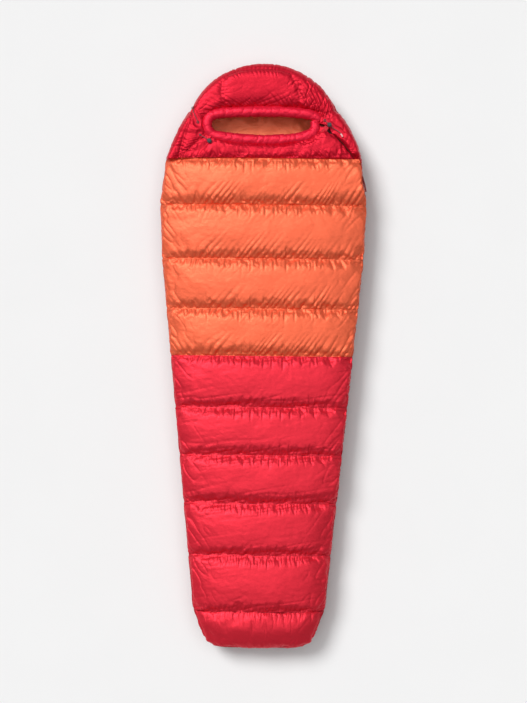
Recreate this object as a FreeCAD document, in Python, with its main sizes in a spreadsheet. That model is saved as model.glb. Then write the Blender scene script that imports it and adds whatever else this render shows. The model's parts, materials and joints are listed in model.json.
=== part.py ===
import FreeCAD, Part
import math
import os
import Sketcher
from FreeCAD import Placement, Rotation, Vector

# A down-filled mummy sleeping bag lying on its back, zipped shut, in millimetres.
# The origin is on the floor under the middle of the bag. +X is the zip side, +Y points to the
# head, and +Z is up. The top layer and the back layer are quilted into chambers across the body,
# and side walls hold them apart round the sleeping space.

# Seams across the body: name, distance along Y, half the width of the bag there.
# Below the ribs the sides are straight, and the half width follows side_taper.
SEAMS = [
    ("neck", 727, 359),
    ("chest", 557, 379),
    ("ribs", 359, 370),
    ("waist", 175, None),
    ("hips", 2, None),
    ("thigh", -186, None),
    ("knee", -362, None),
    ("calf", -539, None),
    ("shin", -730, None),
    ("ankle", -937, None),
]

SIZES = {
    "half_length": 1075,
    "side_taper": 0.0988,
    # heights: the back layer, the space for the sleeper, and the top layer
    "back_loft": 55,
    "space_height": 50,
    "top_loft": 56,
    "hood_loft": 42,
    "wall_thick": 60,
    "edge_inset": 8,
    "seam_gap": 0.5,
    "layer_gap": 0.3,
    # hood outline: a round crown that widens to the neck
    "crown_radius": 297,
    "temple_y": 914,
    "temple_half": 267,
    "cheek_y": 833,
    "cheek_half": 316,
    "crown_panel_half": 150,
    # foot outline
    "foot_corner_y": -1007,
    "foot_corner_half": 213,
    "foot_turn_y": -1052,
    "foot_turn_half": 190,
    "foot_end_half": 110,
    # face opening: two padded rims on large arcs, each with a drawcord in its tunnel
    "rim_radius": 19,
    "rim_height": 134,
    "tunnel_radius": 2.4,
    "cord_radius": 1.5,
    "brow_arc": 592,
    "brow_top_y": 901,
    "chin_arc": 557,
    "chin_low_y": 797,
    "rim_half_width": 190,
    "cheek_inner": 226,
    # the corner of the top layer that folds open, and the line that it folds about
    "fold_left_x": -120,
    "fold_left_y": 810,
    "fold_right_x": 372,
    "fold_right_y": 558,
    "fold_height": 162,
    "fold_end": 486,
    # the curved end of the zip, round a centre at the chest seam
    "zip_centre_x": 42.7,
    "zip_arc": 333,
    "zip_height": 125,
    "zip_channel": 8,
    "zip_top_angle": 56,
    "zip_end_angle": 8,
    # the straight side of the zip
    "zip_bottom_y": -491,
    "tape_width": 24,
    "tape_thick": 0.6,
    "tooth_width": 2.3,
    "tooth_height": 3,
}

doc = FreeCAD.newDocument("mummy_sleeping_bag")
sheet = doc.addObject("Spreadsheet::Sheet", "Sizes")


def fill_sheet():
    """One row of the sheet for each driving size."""
    rows = dict(SIZES)
    for name, along, half in SEAMS:
        rows[f"{name}_y"] = along
        if half is not None:
            rows[f"{name}_half"] = half
    for number, (alias, value) in enumerate(rows.items(), start=1):
        sheet.set(f"A{number}", alias)
        sheet.set(f"B{number}", str(value))
        sheet.setAlias(f"B{number}", alias)
    number += 1
    for name, _, half in SEAMS:
        if half is None:
            sheet.set(f"A{number}", f"{name}_half")
            sheet.set(f"B{number}", f"=ribs_half - (ribs_y - {name}_y) * side_taper")
            sheet.setAlias(f"B{number}", f"{name}_half")
            number += 1
    doc.recompute()


fill_sheet()


def size(alias):
    """The value of one cell of the sheet."""
    return float(sheet.get(alias))


def bound(expression):
    """An expression for setExpression, with each of the sheet's aliases named in full."""
    words = []
    for word in str(expression).replace("(", " ( ").replace(")", " ) ").split():
        known = word.lstrip("-") in ALIASES
        sign = "-" if word.startswith("-") and known else ""
        words.append(f"{sign}Sizes.{word.lstrip('-')}" if known else word)
    return " ".join(words)


def value(expression):
    """The number that an expression of the sheet's aliases comes to."""
    helper = doc.getObject("Probe")
    helper.setExpression("X", bound(expression))
    helper.recompute()
    return helper.X.Value


ALIASES = set(SIZES)
for seam_name, _, _ in SEAMS:
    ALIASES |= {f"{seam_name}_y", f"{seam_name}_half"}
doc.addObject("Part::Vertex", "Probe")

NODES = {}


def keep(thing, label):
    """Names a finished sub-part, which becomes one file."""
    thing.Label = label
    NODES[label] = thing
    return thing


# Heights that many sub-parts share
SPACE_LOW = "back_loft"
SPACE_TOP = "back_loft + space_height"
BAG_TOP = "back_loft + space_height + top_loft"
HOOD_TOP = "back_loft + space_height + hood_loft"
WALL_LOW = "back_loft + layer_gap"
WALL_TOP = "back_loft + space_height - layer_gap"


def plane(body, role):
    """One of a body's own origin planes."""
    return next(f for f in body.Origin.OriginFeatures if f.Role == role)


def new_body(name):
    return doc.addObject("PartDesign::Body", name)


def polygon(body, role, points, offset="0"):
    """A closed sketch through points, each a pair of expressions, parallel to an origin plane."""
    outline = body.newObject("Sketcher::SketchObject", f"{body.Name}_outline")
    outline.AttachmentSupport = (plane(body, role), [""])
    outline.MapMode = "FlatFace"
    outline.setExpression("AttachmentOffset.Base.z", bound(offset))
    places = [Vector(value(x), value(y), 0) for x, y in points]
    count = len(places)
    for k in range(count):
        outline.addGeometry(Part.LineSegment(places[k], places[(k + 1) % count]))
    for k in range(count):
        outline.addConstraint(Sketcher.Constraint("Coincident", k, 2, (k + 1) % count, 1))
    for k, (x, y) in enumerate(points):
        drives = [("DistanceX", places[k].x, x), ("DistanceY", places[k].y, y)]
        for kind, number, expression in drives:
            at = outline.addConstraint(Sketcher.Constraint(kind, -1, 1, k, 1, number))
            outline.setExpression(f"Constraints[{at}]", bound(expression))
    return outline


def prism(name, points, low, high):
    """A body with a polygon outline in plan, from one height to another."""
    body = new_body(name)
    pad = body.newObject("PartDesign::Pad", f"{name}_pad")
    pad.Profile = polygon(body, "XY_Plane", points, low)
    pad.setExpression("Length", bound(f"( {high} ) - ( {low} )"))
    return body


def trim(body, outline):
    """Cuts a plan outline out of a body, right through."""
    cut = body.newObject("PartDesign::Pocket", f"{body.Name}_trim")
    cut.Profile = outline
    cut.Midplane = True
    cut.Length = 2 * value(BAG_TOP)
    return body


def trim_to_disc(body, x, y, radius):
    """Keeps what lies inside a circle in plan."""
    outline = body.newObject("Sketcher::SketchObject", f"{body.Name}_disc")
    outline.AttachmentSupport = (plane(body, "XY_Plane"), [""])
    outline.MapMode = "FlatFace"
    centre = Vector(value(x), value(y), 0)
    outline.addGeometry(Part.Circle(centre, Vector(0, 0, 1), value(radius)))
    outline.addGeometry(Part.Circle(centre, Vector(0, 0, 1), 3 * value(radius)))
    outline.addConstraint(Sketcher.Constraint("Coincident", 0, 3, 1, 3))
    drives = [
        (Sketcher.Constraint("DistanceX", -1, 1, 0, 3, centre.x), x),
        (Sketcher.Constraint("DistanceY", -1, 1, 0, 3, centre.y), y),
        (Sketcher.Constraint("Radius", 0, value(radius)), radius),
        (Sketcher.Constraint("Radius", 1, 3 * value(radius)), f"3 * ( {radius} )"),
    ]
    for constraint, expression in drives:
        at = outline.addConstraint(constraint)
        outline.setExpression(f"Constraints[{at}]", bound(expression))
    return trim(body, outline)


def top_section(half):
    """The top layer's cross-section: flat below, with its upper edges falling to the sides."""
    right = [
        (f"{half} - edge_inset", SPACE_TOP),
        (f"{half} - edge_inset", f"{SPACE_TOP} + 0.4 * top_loft"),
        (f"{half} - 45", f"{SPACE_TOP} + 0.85 * top_loft"),
        (f"{half} * 0.5", BAG_TOP),
    ]
    return right + [(f"-( {x} )", z) for x, z in reversed(right)]


def back_section(half):
    """The back layer's cross-section, which rests on the floor."""
    right = [
        (f"{half} - 50", "0"),
        (f"{half} - edge_inset", "0.5 * back_loft"),
        (f"{half} - edge_inset", "back_loft"),
    ]
    return right + [(f"-( {x} )", z) for x, z in reversed(right)]


def chamber(name, section, head_seam, foot_seam):
    """One quilted chamber, lofted between the cross-sections at its two seams."""
    body = new_body(name)
    loft = body.newObject("PartDesign::AdditiveLoft", f"{name}_loft")
    stations = [
        (f"{head_seam}_half", f"-{head_seam}_y + seam_gap"),
        (f"{foot_seam}_half", f"-{foot_seam}_y - seam_gap"),
    ]
    sketches = [polygon(body, "XZ_Plane", section(half), offset) for half, offset in stations]
    loft.Profile = sketches[0]
    loft.Sections = [sketches[1]]
    loft.Ruled = True
    return body


def group(label, bodies):
    """Several separate solids that are one sub-part."""
    set_of = doc.addObject("Part::Compound", f"{label}_set")
    set_of.Links = bodies
    return keep(set_of, label)


# ---------------------------------------------------------------- the fold line and its sides

FOLD_A = Vector(size("fold_left_x"), size("fold_left_y"), 0)
FOLD_B = Vector(size("fold_right_x"), size("fold_right_y"), 0)
FOLD_ALONG = (FOLD_B - FOLD_A).normalize()
FOLD_ACROSS = Vector(-FOLD_ALONG.y, FOLD_ALONG.x, 0)
FAR = 900
CORNER_EDGE = "zip_arc - zip_channel - layer_gap"


def fold_side(body, side):
    """Cuts away what lies on one side of the fold line: +1 the opening corner, -1 the rest."""
    near = FOLD_ACROSS * (-side * size("seam_gap"))
    far = FOLD_ACROSS * (side * FAR)
    ends = (FOLD_A - FOLD_ALONG * FAR, FOLD_B + FOLD_ALONG * FAR)
    corners = [ends[0] + near, ends[1] + near, ends[1] + far, ends[0] + far]
    points = [(f"{c.x}", f"{c.y}") for c in corners]
    return trim(body, polygon(body, "XY_Plane", points))


def end_side(body, side):
    """Cuts away what lies past the folding corner's zip end (+1), or short of it (-1)."""
    near = FOLD_A + FOLD_ALONG * (size("fold_end") - side * size("seam_gap"))
    far = near + FOLD_ALONG * (side * FAR)
    aside = FOLD_ACROSS * FAR
    corners = [near - aside, far - aside, far + aside, near + aside]
    points = [(f"{c.x}", f"{c.y}") for c in corners]
    return trim(body, polygon(body, "XY_Plane", points))


# ---------------------------------------------------------------- quilted chambers


def top_chambers():
    for (head, _, _), (foot, _, _) in zip(SEAMS[1:], SEAMS[2:]):
        keep(chamber(f"top_{foot}", top_section, head, foot), f"top_chamber_{foot}")
    keep(foot_prism("top_foot", SPACE_TOP, BAG_TOP), "top_chamber_foot")


def chest_chamber():
    """The fixed part of the chest chamber, and its tip beside the closed end of the zip."""
    main = fold_side(chamber("top_chest", top_section, "neck", "chest"), 1)
    tip = fold_side(chamber("top_chest_tip", top_section, "neck", "chest"), -1)
    end_side(tip, -1)
    trim_to_disc(tip, "zip_centre_x", "chest_y", CORNER_EDGE)
    group("top_chamber_chest", [main, tip])


def back_chambers():
    bodies = []
    for (head, _, _), (foot, _, _) in zip(SEAMS, SEAMS[1:]):
        bodies.append(chamber(f"back_{foot}", back_section, head, foot))
    bodies.append(foot_prism("back_foot", "0", "back_loft"))
    group("back_chambers", bodies)


def mirrored(right):
    """A plan outline from its right half, which runs from the foot end towards the head."""
    return right + [(f"-( {x} )", y) for x, y in reversed(right)]


def foot_prism(name, low, high):
    right = [
        ("foot_end_half", "-half_length"),
        ("foot_turn_half", "foot_turn_y"),
        ("foot_corner_half", "foot_corner_y"),
        ("ankle_half - edge_inset", "ankle_y - seam_gap"),
    ]
    return prism(name, mirrored(right), low, high)


def side_wall(side, name):
    """The chambers of one side wall, which hold the top and back layers apart."""
    sign = "-" if side < 0 else ""
    bodies = []
    for (head, _, _), (foot, _, _) in zip(SEAMS, SEAMS[1:]):
        outer = "- edge_inset"
        inner = "- edge_inset - wall_thick"
        points = [
            (f"{sign}( {foot}_half {outer} )", f"{foot}_y + seam_gap"),
            (f"{sign}( {head}_half {outer} )", f"{head}_y - seam_gap"),
            (f"{sign}( {head}_half {inner} )", f"{head}_y - seam_gap"),
            (f"{sign}( {foot}_half {inner} )", f"{foot}_y + seam_gap"),
        ]
        bodies.append(prism(f"{name}_{foot}", points, WALL_LOW, WALL_TOP))
    ankle = "ankle_half - edge_inset"
    points = [
        (f"{sign}( {ankle} )", "ankle_y - seam_gap"),
        (f"{sign}foot_corner_half", "foot_corner_y + seam_gap"),
        (f"{sign}( foot_corner_half - wall_thick )", "foot_corner_y + seam_gap"),
        (f"{sign}( {ankle} - wall_thick )", "ankle_y - seam_gap"),
    ]
    bodies.append(prism(f"{name}_foot", points, WALL_LOW, WALL_TOP))
    group(name, bodies)


def foot_wall():
    right = [
        ("foot_end_half", "-half_length"),
        ("foot_turn_half", "foot_turn_y"),
        ("foot_corner_half", "foot_corner_y - seam_gap"),
    ]
    keep(prism("foot_wall_body", mirrored(right), WALL_LOW, WALL_TOP), "foot_end_wall")


def baffle_walls(label, low, high, inset, first):
    """The thin mesh walls sewn in at the seams, which stop the down moving between chambers."""
    mesh_half = 0.3
    bodies = []
    for name, _, _ in SEAMS[first:]:
        points = [
            (f"-( {name}_half - {inset} )", f"{name}_y - {mesh_half}"),
            (f"{name}_half - {inset}", f"{name}_y - {mesh_half}"),
            (f"{name}_half - {inset}", f"{name}_y + {mesh_half}"),
            (f"-( {name}_half - {inset} )", f"{name}_y + {mesh_half}"),
        ]
        bodies.append(prism(f"{label}_{name}", points, low, high))
    group(label, bodies)


# ---------------------------------------------------------------- hood

CROWN_Y = "half_length - crown_radius"
BROW_EDGE = "brow_top_y + rim_radius + 3"


def hood_back():
    points = [
        ("-neck_half + edge_inset", "neck_y + seam_gap"),
        ("neck_half - edge_inset", "neck_y + seam_gap"),
        ("cheek_half", "cheek_y"),
        ("temple_half", "temple_y"),
        ("-temple_half", "temple_y"),
        ("-cheek_half", "cheek_y"),
    ]
    neck = prism("back_neck", points, "0", "back_loft")
    block = crown_block("-crown_radius", "crown_radius", "temple_y + 1")
    crown = prism("back_crown", block, "0", "back_loft")
    group("hood_back", [neck, trim_to_disc(crown, "0", CROWN_Y, "crown_radius")])


def crown_block(left, right, low):
    """A rectangle in plan that reaches past the crown."""
    return [(left, low), (right, low), (right, "half_length + 1"), (left, "half_length + 1")]


def hood_crown():
    """The crown's three panels above the face opening."""
    edge = "crown_panel_half"
    panels = [
        ("hood_crown_panel", f"-{edge}", edge),
        ("hood_crown_left", "-crown_radius", f"-{edge} - 2 * seam_gap"),
        ("hood_crown_right", f"{edge} + 2 * seam_gap", "crown_radius"),
    ]
    for label, left, right in panels:
        body = prism(f"{label}_body", crown_block(left, right, BROW_EDGE), SPACE_TOP, HOOD_TOP)
        keep(trim_to_disc(body, "0", CROWN_Y, "crown_radius"), label)


def hood_cheeks():
    """The padded cheeks beside the face opening, outside the curved end of the zip."""
    inner = "cheek_inner"
    left = [
        ("-neck_half + edge_inset", "neck_y + seam_gap"),
        (f"-( {inner} )", "neck_y + seam_gap"),
        (f"-( {inner} )", f"{BROW_EDGE} - 1"),
        ("-temple_half + 4", f"{BROW_EDGE} - 1"),
        ("-temple_half", "temple_y"),
        ("-cheek_half", "cheek_y"),
    ]
    keep(prism("cheek_left", left, SPACE_TOP, HOOD_TOP), "hood_cheek_left")
    chord_room = 2.0
    reach = size("zip_arc") + size("zip_channel") + chord_room
    levels = [size("neck_y") + size("seam_gap"), 770, 812, 852]
    halves = [size("neck_half") - size("edge_inset")]
    slope = (size("neck_half") - size("cheek_half")) / (size("cheek_y") - size("neck_y"))
    halves += [size("neck_half") - slope * (level - size("neck_y")) for level in levels[1:]]
    halves[3] = size("cheek_half") - 10
    bodies = []
    for k in range(3):
        low, high = levels[k], levels[k + 1]
        inside = [arc_x(reach, low), arc_x(reach, high)]
        points = [(inside[0], low), (halves[k], low), (halves[k + 1], high), (inside[1], high)]
        texts = [(f"{x}", f"{y}") for x, y in points]
        bodies.append(prism(f"cheek_right_{k}", texts, SPACE_TOP, HOOD_TOP))
    upper = [
        (f"{inner}", f"{levels[3]} + 1"),
        (f"{halves[3]}", f"{levels[3]} + 1"),
        ("temple_half", "temple_y"),
        ("temple_half - 4", f"{BROW_EDGE} - 1"),
        (f"{inner}", f"{BROW_EDGE} - 1"),
    ]
    bodies.append(prism("cheek_right_top", upper, SPACE_TOP, HOOD_TOP))
    group("hood_cheek_right", bodies)


def arc_x(radius, along):
    """Where a circle round the zip's centre crosses a line across the bag."""
    rise = along - size("chest_y")
    return size("zip_centre_x") + math.sqrt(radius**2 - rise**2)


def ring(name, radii, angles, heights):
    """A flat ring's sector about the body's own Z axis. Its angles are in degrees."""
    body = new_body(name)
    (near, far), (low, high) = radii, heights
    corners = [(near, low), (far, low), (far, high), (near, high)]
    turn = body.newObject("PartDesign::Revolution", f"{name}_turn")
    turn.Profile = polygon(body, "XZ_Plane", corners)
    turn.ReferenceAxis = (plane(body, "Z_Axis"), [""])
    turn.setExpression("Angle", bound(f"( {angles[1]} ) - ( {angles[0]} )"))
    body.Placement = Placement(Vector(), Rotation(Vector(0, 0, 1), value(angles[0])))
    return body


def hood_wall():
    """The hood's side wall: chambers round the crown and down both cheeks."""
    start = math.degrees(math.asin((size("temple_y") - value(CROWN_Y)) / size("crown_radius")))
    step = (180 - 2 * start) / 6
    gap = 0.2
    bodies = []
    radii = ("crown_radius - wall_thick", "crown_radius")
    for k in range(6):
        angles = (start + k * step + gap, start + (k + 1) * step - gap)
        body = ring(f"hood_wall_{k}", radii, angles, (WALL_LOW, WALL_TOP))
        body.Placement.Base = Vector(0, value(CROWN_Y), 0)
        bodies.append(body)
    runs = [
        ("neck_half - edge_inset", "neck_y + seam_gap", "cheek_half", "cheek_y - seam_gap"),
        ("cheek_half", "cheek_y + seam_gap", "temple_half", "temple_y - 1"),
    ]
    for sign in ("", "-"):
        for number, (low_half, low, high_half, high) in enumerate(runs):
            points = [
                (f"{sign}( {low_half} )", low),
                (f"{sign}( {high_half} )", high),
                (f"{sign}( {high_half} - wall_thick )", high),
                (f"{sign}( {low_half} - wall_thick )", low),
            ]
            side = "left" if sign else "right"
            bodies.append(prism(f"hood_{side}_{number}", points, WALL_LOW, WALL_TOP))
    group("hood_side_wall", bodies)


# ---------------------------------------------------------------- rims of the face opening


def torus_arc(name, arc, tube, centre_y, start, sweep):
    """Part of a torus that lies level, bound to the sheet."""
    piece = doc.addObject("Part::Torus", name)
    piece.setExpression("Radius1", bound(arc))
    piece.setExpression("Radius2", bound(tube))
    piece.Angle3 = sweep
    place = Vector(0, value(centre_y), value("rim_height"))
    piece.Placement = Placement(place, Rotation(Vector(0, 0, 1), start))
    return piece


def rim_pieces(name, arc, centre_y, start, end, count):
    """A padded tube in short lengths, each with the drawcord's tunnel through it."""
    pieces = []
    step = (end - start) / count
    for k in range(count):
        at = start + k * step
        sweep = step - 0.05
        tube = torus_arc(f"{name}_tube_{k}", arc, "rim_radius", centre_y, at, sweep)
        ends = (at - 0.2, sweep + 0.4)
        tunnel = torus_arc(f"{name}_tunnel_{k}", arc, "tunnel_radius", centre_y, *ends)
        piece = doc.addObject("Part::Cut", f"{name}_piece_{k}")
        piece.Base = tube
        piece.Tool = tunnel
        pieces.append(piece)
    return pieces


def rims():
    brow_half = math.degrees(math.asin(size("rim_half_width") / size("brow_arc")))
    brow_y = "brow_top_y - brow_arc"
    pieces = rim_pieces("brow", "brow_arc", brow_y, 90 - brow_half, 90 + brow_half, 5)
    group("hood_rim_brow", pieces)
    chin_y = "chin_low_y + chin_arc"
    left, right, cut = chin_angles()
    left_pieces = rim_pieces("chin_left", "chin_arc", chin_y, left, cut - CHIN_GAP, 1)
    group("hood_rim_chin_left", left_pieces)
    group("hood_rim_chin", rim_pieces("chin", "chin_arc", chin_y, cut + CHIN_GAP, right, 5))
    inset = 0.3
    start, sweep = 90 - brow_half + inset, 2 * (brow_half - inset)
    cord = torus_arc("brow_cord", "brow_arc", "cord_radius", brow_y, start, sweep)
    keep(cord, "hood_drawcord")
    start, sweep = cut + 1.2 * CHIN_GAP, right - cut - 2 * CHIN_GAP
    cord = torus_arc("chin_cord", "chin_arc", "cord_radius", chin_y, start, sweep)
    keep(cord, "chin_drawcord")


CHIN_GAP = 1.1


def chin_angles():
    """The chin rim's ends, and where the fold line crosses it, in degrees round its arc."""
    left = 270 - math.degrees(math.asin(size("rim_half_width") / size("chin_arc")))
    right = 270 + math.degrees(math.asin((size("rim_half_width") - 10) / size("chin_arc")))
    cut = 270 - math.degrees(math.asin(-size("fold_left_x") / size("chin_arc")))
    return left, right, cut


# ---------------------------------------------------------------- neck and the folding corner


def neck_left():
    """The fixed part of the neck, between the left cheek and the fold line."""
    edge = "-( cheek_inner - 1 )"
    points = [
        (edge, "neck_y + seam_gap"),
        ("35", "neck_y + seam_gap"),
        ("-85", "779"),
        (edge, "801"),
    ]
    keep(fold_side(prism("neck_left_body", points, SPACE_TOP, HOOD_TOP), 1), "neck_left")


def folding_corner():
    """The corner of the top layer that opens: part of the chest chamber, and the neck above it."""
    chest = chamber("corner_chest_body", top_section, "neck", "chest")
    fold_side(chest, -1)
    end_side(chest, 1)
    trim_to_disc(chest, "zip_centre_x", "chest_y", CORNER_EDGE)
    keep(chest, "corner_chest")
    low = [
        ("20", "neck_y + seam_gap"),
        ("120", "neck_y + seam_gap"),
        ("120", "773"),
        ("-60", "773"),
    ]
    gore = [
        ("121", "neck_y + seam_gap"),
        ("330", "neck_y + seam_gap"),
        ("330", "811"),
        ("199", "811"),
        ("121", "775"),
    ]
    tip = [("201", "812"), ("246", "812"), ("246", "838"), ("203", "838")]
    pieces = [fold_side(prism("corner_neck_low", low, SPACE_TOP, HOOD_TOP), -1)]
    for name, outline in (("corner_neck_side", gore), ("corner_neck_tip", tip)):
        piece = prism(name, outline, SPACE_TOP, HOOD_TOP)
        pieces.append(trim_to_disc(piece, "zip_centre_x", "chest_y", CORNER_EDGE))
    group("corner_neck", pieces)


def draft_collar():
    """A soft roll that hangs under the top layer at the neck and seals round the shoulders."""
    low, high = f"{SPACE_TOP} - 13", f"{SPACE_TOP} - 1"
    left = [("-285", "692"), ("40", "692"), ("40", "722"), ("-285", "722")]
    right = [("135", "692"), ("285", "692"), ("285", "722"), ("80", "722")]
    keep(prism("collar_left_body", left, low, high), "draft_collar_left")
    keep(prism("collar_right_body", right, low, high), "draft_collar_right")


def linings():
    """The inner fabric under the sleeper and over them."""
    thick = 0.8
    inset = "- edge_inset - wall_thick - 2"
    right = [
        (f"ankle_half {inset}", "ankle_y"),
        (f"ribs_half {inset}", "ribs_y"),
        (f"chest_half {inset}", "chest_y"),
        (f"neck_half {inset}", "neck_y"),
        (f"temple_half {inset} - 7", "temple_y"),
        ("90", "half_length - wall_thick - 25"),
    ]
    low = f"{SPACE_LOW} + layer_gap"
    keep(prism("lining_back_body", mirrored(right), low, f"{low} + {thick}"), "lining_back")
    top = f"{SPACE_TOP} - layer_gap"
    right = right[:3]
    keep(prism("lining_top_body", mirrored(right), f"{top} - {thick}", top), "lining_top")


# ---------------------------------------------------------------- zip

TAPE_LOW = "zip_height - tape_thick / 2"
TAPE_HIGH = "zip_height + tape_thick / 2"
TEETH_LOW = "zip_height - tooth_height / 2"
TEETH_HIGH = "zip_height + tooth_height / 2"
BASE_ROW = "zip_arc + 1.2"
FLAP_ROW = "zip_arc - 1.4 - tooth_width"


def zip_centre():
    return Vector(size("zip_centre_x"), size("chest_y"), 0)


def arc_strip(name, radii, angles, heights):
    body = ring(name, radii, angles, heights)
    body.Placement.Base = zip_centre()
    return body


def zip_on_corner():
    """The tape and tooth row on the folding corner's edge."""
    angles = ("zip_end_angle + 6", "zip_top_angle - 3.5")
    cloth = ("zip_arc - zip_channel", FLAP_ROW)
    teeth = (FLAP_ROW, f"{FLAP_ROW} + tooth_width")
    tape = arc_strip("corner_tape", cloth, angles, (TAPE_LOW, TAPE_HIGH))
    row = arc_strip("corner_row", teeth, angles, (TEETH_LOW, TEETH_HIGH))
    keep(tape, "zip_tape_corner")
    keep(row, "zip_teeth_corner")


def zip_on_bag():
    """The tapes, tooth rows, facings and stops on the rest of the bag: an arc, then a straight."""
    angles = ("zip_end_angle", "zip_top_angle + 4")
    cloth = (f"{BASE_ROW} + tooth_width", "zip_arc + zip_channel")
    teeth = (BASE_ROW, f"{BASE_ROW} + tooth_width")
    arc_tape = arc_strip("hood_tape", cloth, angles, (TAPE_LOW, TAPE_HIGH))
    arc_row = arc_strip("hood_row", teeth, angles, (TEETH_LOW, TEETH_HIGH))
    half = "tape_width / 2"
    back, front = "-edge_inset + 3.4", "-edge_inset + 3.4 + tape_thick"
    face = "-edge_inset + 3.4 + tape_thick / 2"
    thick = (f"{face} - tooth_height / 2", f"{face} + tooth_height / 2")
    sewn = ("-edge_inset + 0.2", back)
    facings, tapes, rows = [], [arc_tape], [arc_row]
    lengths = [
        ("legs", along_side(), "-20", SIDE_LENGTH, "0"),
        ("ribs", along_ribs(), "0.5", "chest_y - ribs_y", "0.5"),
    ]
    for run, frame, start, end, first_tooth in lengths:
        for side, sign in (("low", "-"), ("high", "")):
            hem = zip_band(sign, f"{half} - 6", half)
            cloth = zip_band(sign, "1.2 + tooth_width", half)
            teeth = zip_band(sign, "1.2", "1.2 + tooth_width")
            name = f"{run}_{side}"
            facings.append(side_strip(f"facing_{name}", sewn, (start, end), hem, frame))
            tapes.append(side_strip(f"tape_{name}", (back, front), (start, end), cloth, frame))
            rows.append(side_strip(f"row_{name}", thick, (first_tooth, end), teeth, frame))
    group("zip_facings", facings)
    group("zip_tape_bag", tapes)
    group("zip_teeth_bag", rows)
    out = (front, f"{front} + 2.4")
    foot_stop = side_strip("foot_stop", out, ("-14", "-10"), ("-6", "6"), along_side())
    corner = Placement(Vector(0.6, -1.2, -1.5), Rotation())
    beyond_teeth = 4.5
    stop_frame = arc_frame(size("zip_top_angle") + beyond_teeth, size("zip_height"))
    top_stop = moved(box("top_stop_block", 4.2, 2.4, 3, (0, 0, 0)), stop_frame * corner)
    group("zip_stops", [foot_stop, top_stop])
    inside = ("-edge_inset - wall_thick - 19", "-edge_inset - wall_thick - 1")
    draft = side_strip("draft_tube", inside, ("10", SIDE_LENGTH), ("-43", "-6"), along_side())
    keep(draft, "zip_draft_tube")


def along_side():
    """The frame of the straight zip: its foot end, with local Y up the zip and local X outwards."""
    below_ribs = size("ribs_y") - size("zip_bottom_y")
    foot_x = size("ribs_half") - below_ribs * size("side_taper")
    foot = Vector(foot_x, size("zip_bottom_y"), value(SPACE_TOP))
    lean = math.degrees(math.atan(size("side_taper")))
    return Placement(foot, Rotation(Vector(0, 0, 1), -lean))


def along_ribs():
    """The same for the shorter length of zip beside the ribs chamber."""
    foot = Vector(size("ribs_half"), size("ribs_y"), value(SPACE_TOP))
    widens = size("chest_half") - size("ribs_half")
    lean = math.degrees(math.atan(widens / (size("chest_y") - size("ribs_y"))))
    return Placement(foot, Rotation(Vector(0, 0, 1), -lean))


def side_strip(name, across, along, heights, frame):
    """A straight strip beside the zip, in the zip's own frame."""
    (near, far), (start, end) = across, along
    corners = [(near, start), (far, start), (far, end), (near, end)]
    return moved(prism(name, corners, *heights), frame)


SIDE_LENGTH = "( ribs_y - zip_bottom_y ) * 1.00487"


def zip_band(sign, near, far):
    """The heights of a strip above or below the middle of the straight zip."""
    return (near, far) if sign == "" else (f"-( {far} )", f"-( {near} )")


def box(name, x, y, z, corner):
    """A plain block with one corner placed."""
    block = doc.addObject("Part::Box", name)
    block.Length, block.Width, block.Height = x, y, z
    block.Placement.Base = Vector(*corner)
    return block


def cylinder(name, radius, length, place, axis=Vector(0, 0, 1)):
    rod = doc.addObject("Part::Cylinder", name)
    rod.Radius, rod.Height = radius, length
    rod.Placement = Placement(Vector(*place), Rotation(Vector(0, 0, 1), axis))
    return rod


def joined(name, pieces):
    fuse = doc.addObject("Part::MultiFuse", name)
    fuse.Shapes = pieces
    return fuse


def moved(thing, placement):
    thing.Placement = placement
    return thing


def arc_frame(angle, height):
    """A frame on the curved zip: local X outwards, local Y up the zip."""
    out = Vector(math.cos(math.radians(angle)), math.sin(math.radians(angle)), 0)
    place = zip_centre() + out * size("zip_arc")
    place.z = height
    return Placement(place, Rotation(Vector(0, 0, 1), angle))


def slider(label, frame):
    """A zip slider: two plates either side of the teeth, a bridge between them, and a bail."""
    wide, long, plate, mouth = 10.5, 16, 1.2, 4
    low, end = -long / 2, long / 2
    pieces = [
        box(f"{label}_top", wide, long, plate, (-wide / 2, low, mouth / 2)),
        box(f"{label}_under", wide, long, plate, (-wide / 2, low, -mouth / 2 - plate)),
        box(f"{label}_bridge", 1.8, 5, mouth, (-0.9, end - 5, -mouth / 2)),
    ]
    for number, across in enumerate((-1.8, 5.2 - 1.2)):
        foot = (across, low + 0.5, mouth / 2 + plate)
        pieces.append(box(f"{label}_post_{number}", 1.2, 3, 2.4, foot))
    return keep(moved(joined(f"{label}_body", pieces), frame), label)


def pull(label, frame, length):
    """A pull tab between the posts of the slider's bail, with the pin that it turns on."""
    corner = (-0.2, PULL_AXIS.y - length, PULL_AXIS.z - 0.7)
    tab = box(f"{label}_tab", 3.6, length, 1.4, corner)
    return keep(moved(tab_with_pin(label, tab), frame), label)


PULL_AXIS = Vector(0, -6, 4.3)


def tab_with_pin(label, tab):
    end = (-0.4, PULL_AXIS.y, PULL_AXIS.z)
    pin = cylinder(f"{label}_pin", 0.7, 4.0, end, Vector(1, 0, 0))
    return joined(f"{label}_body", [tab, pin])


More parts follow.
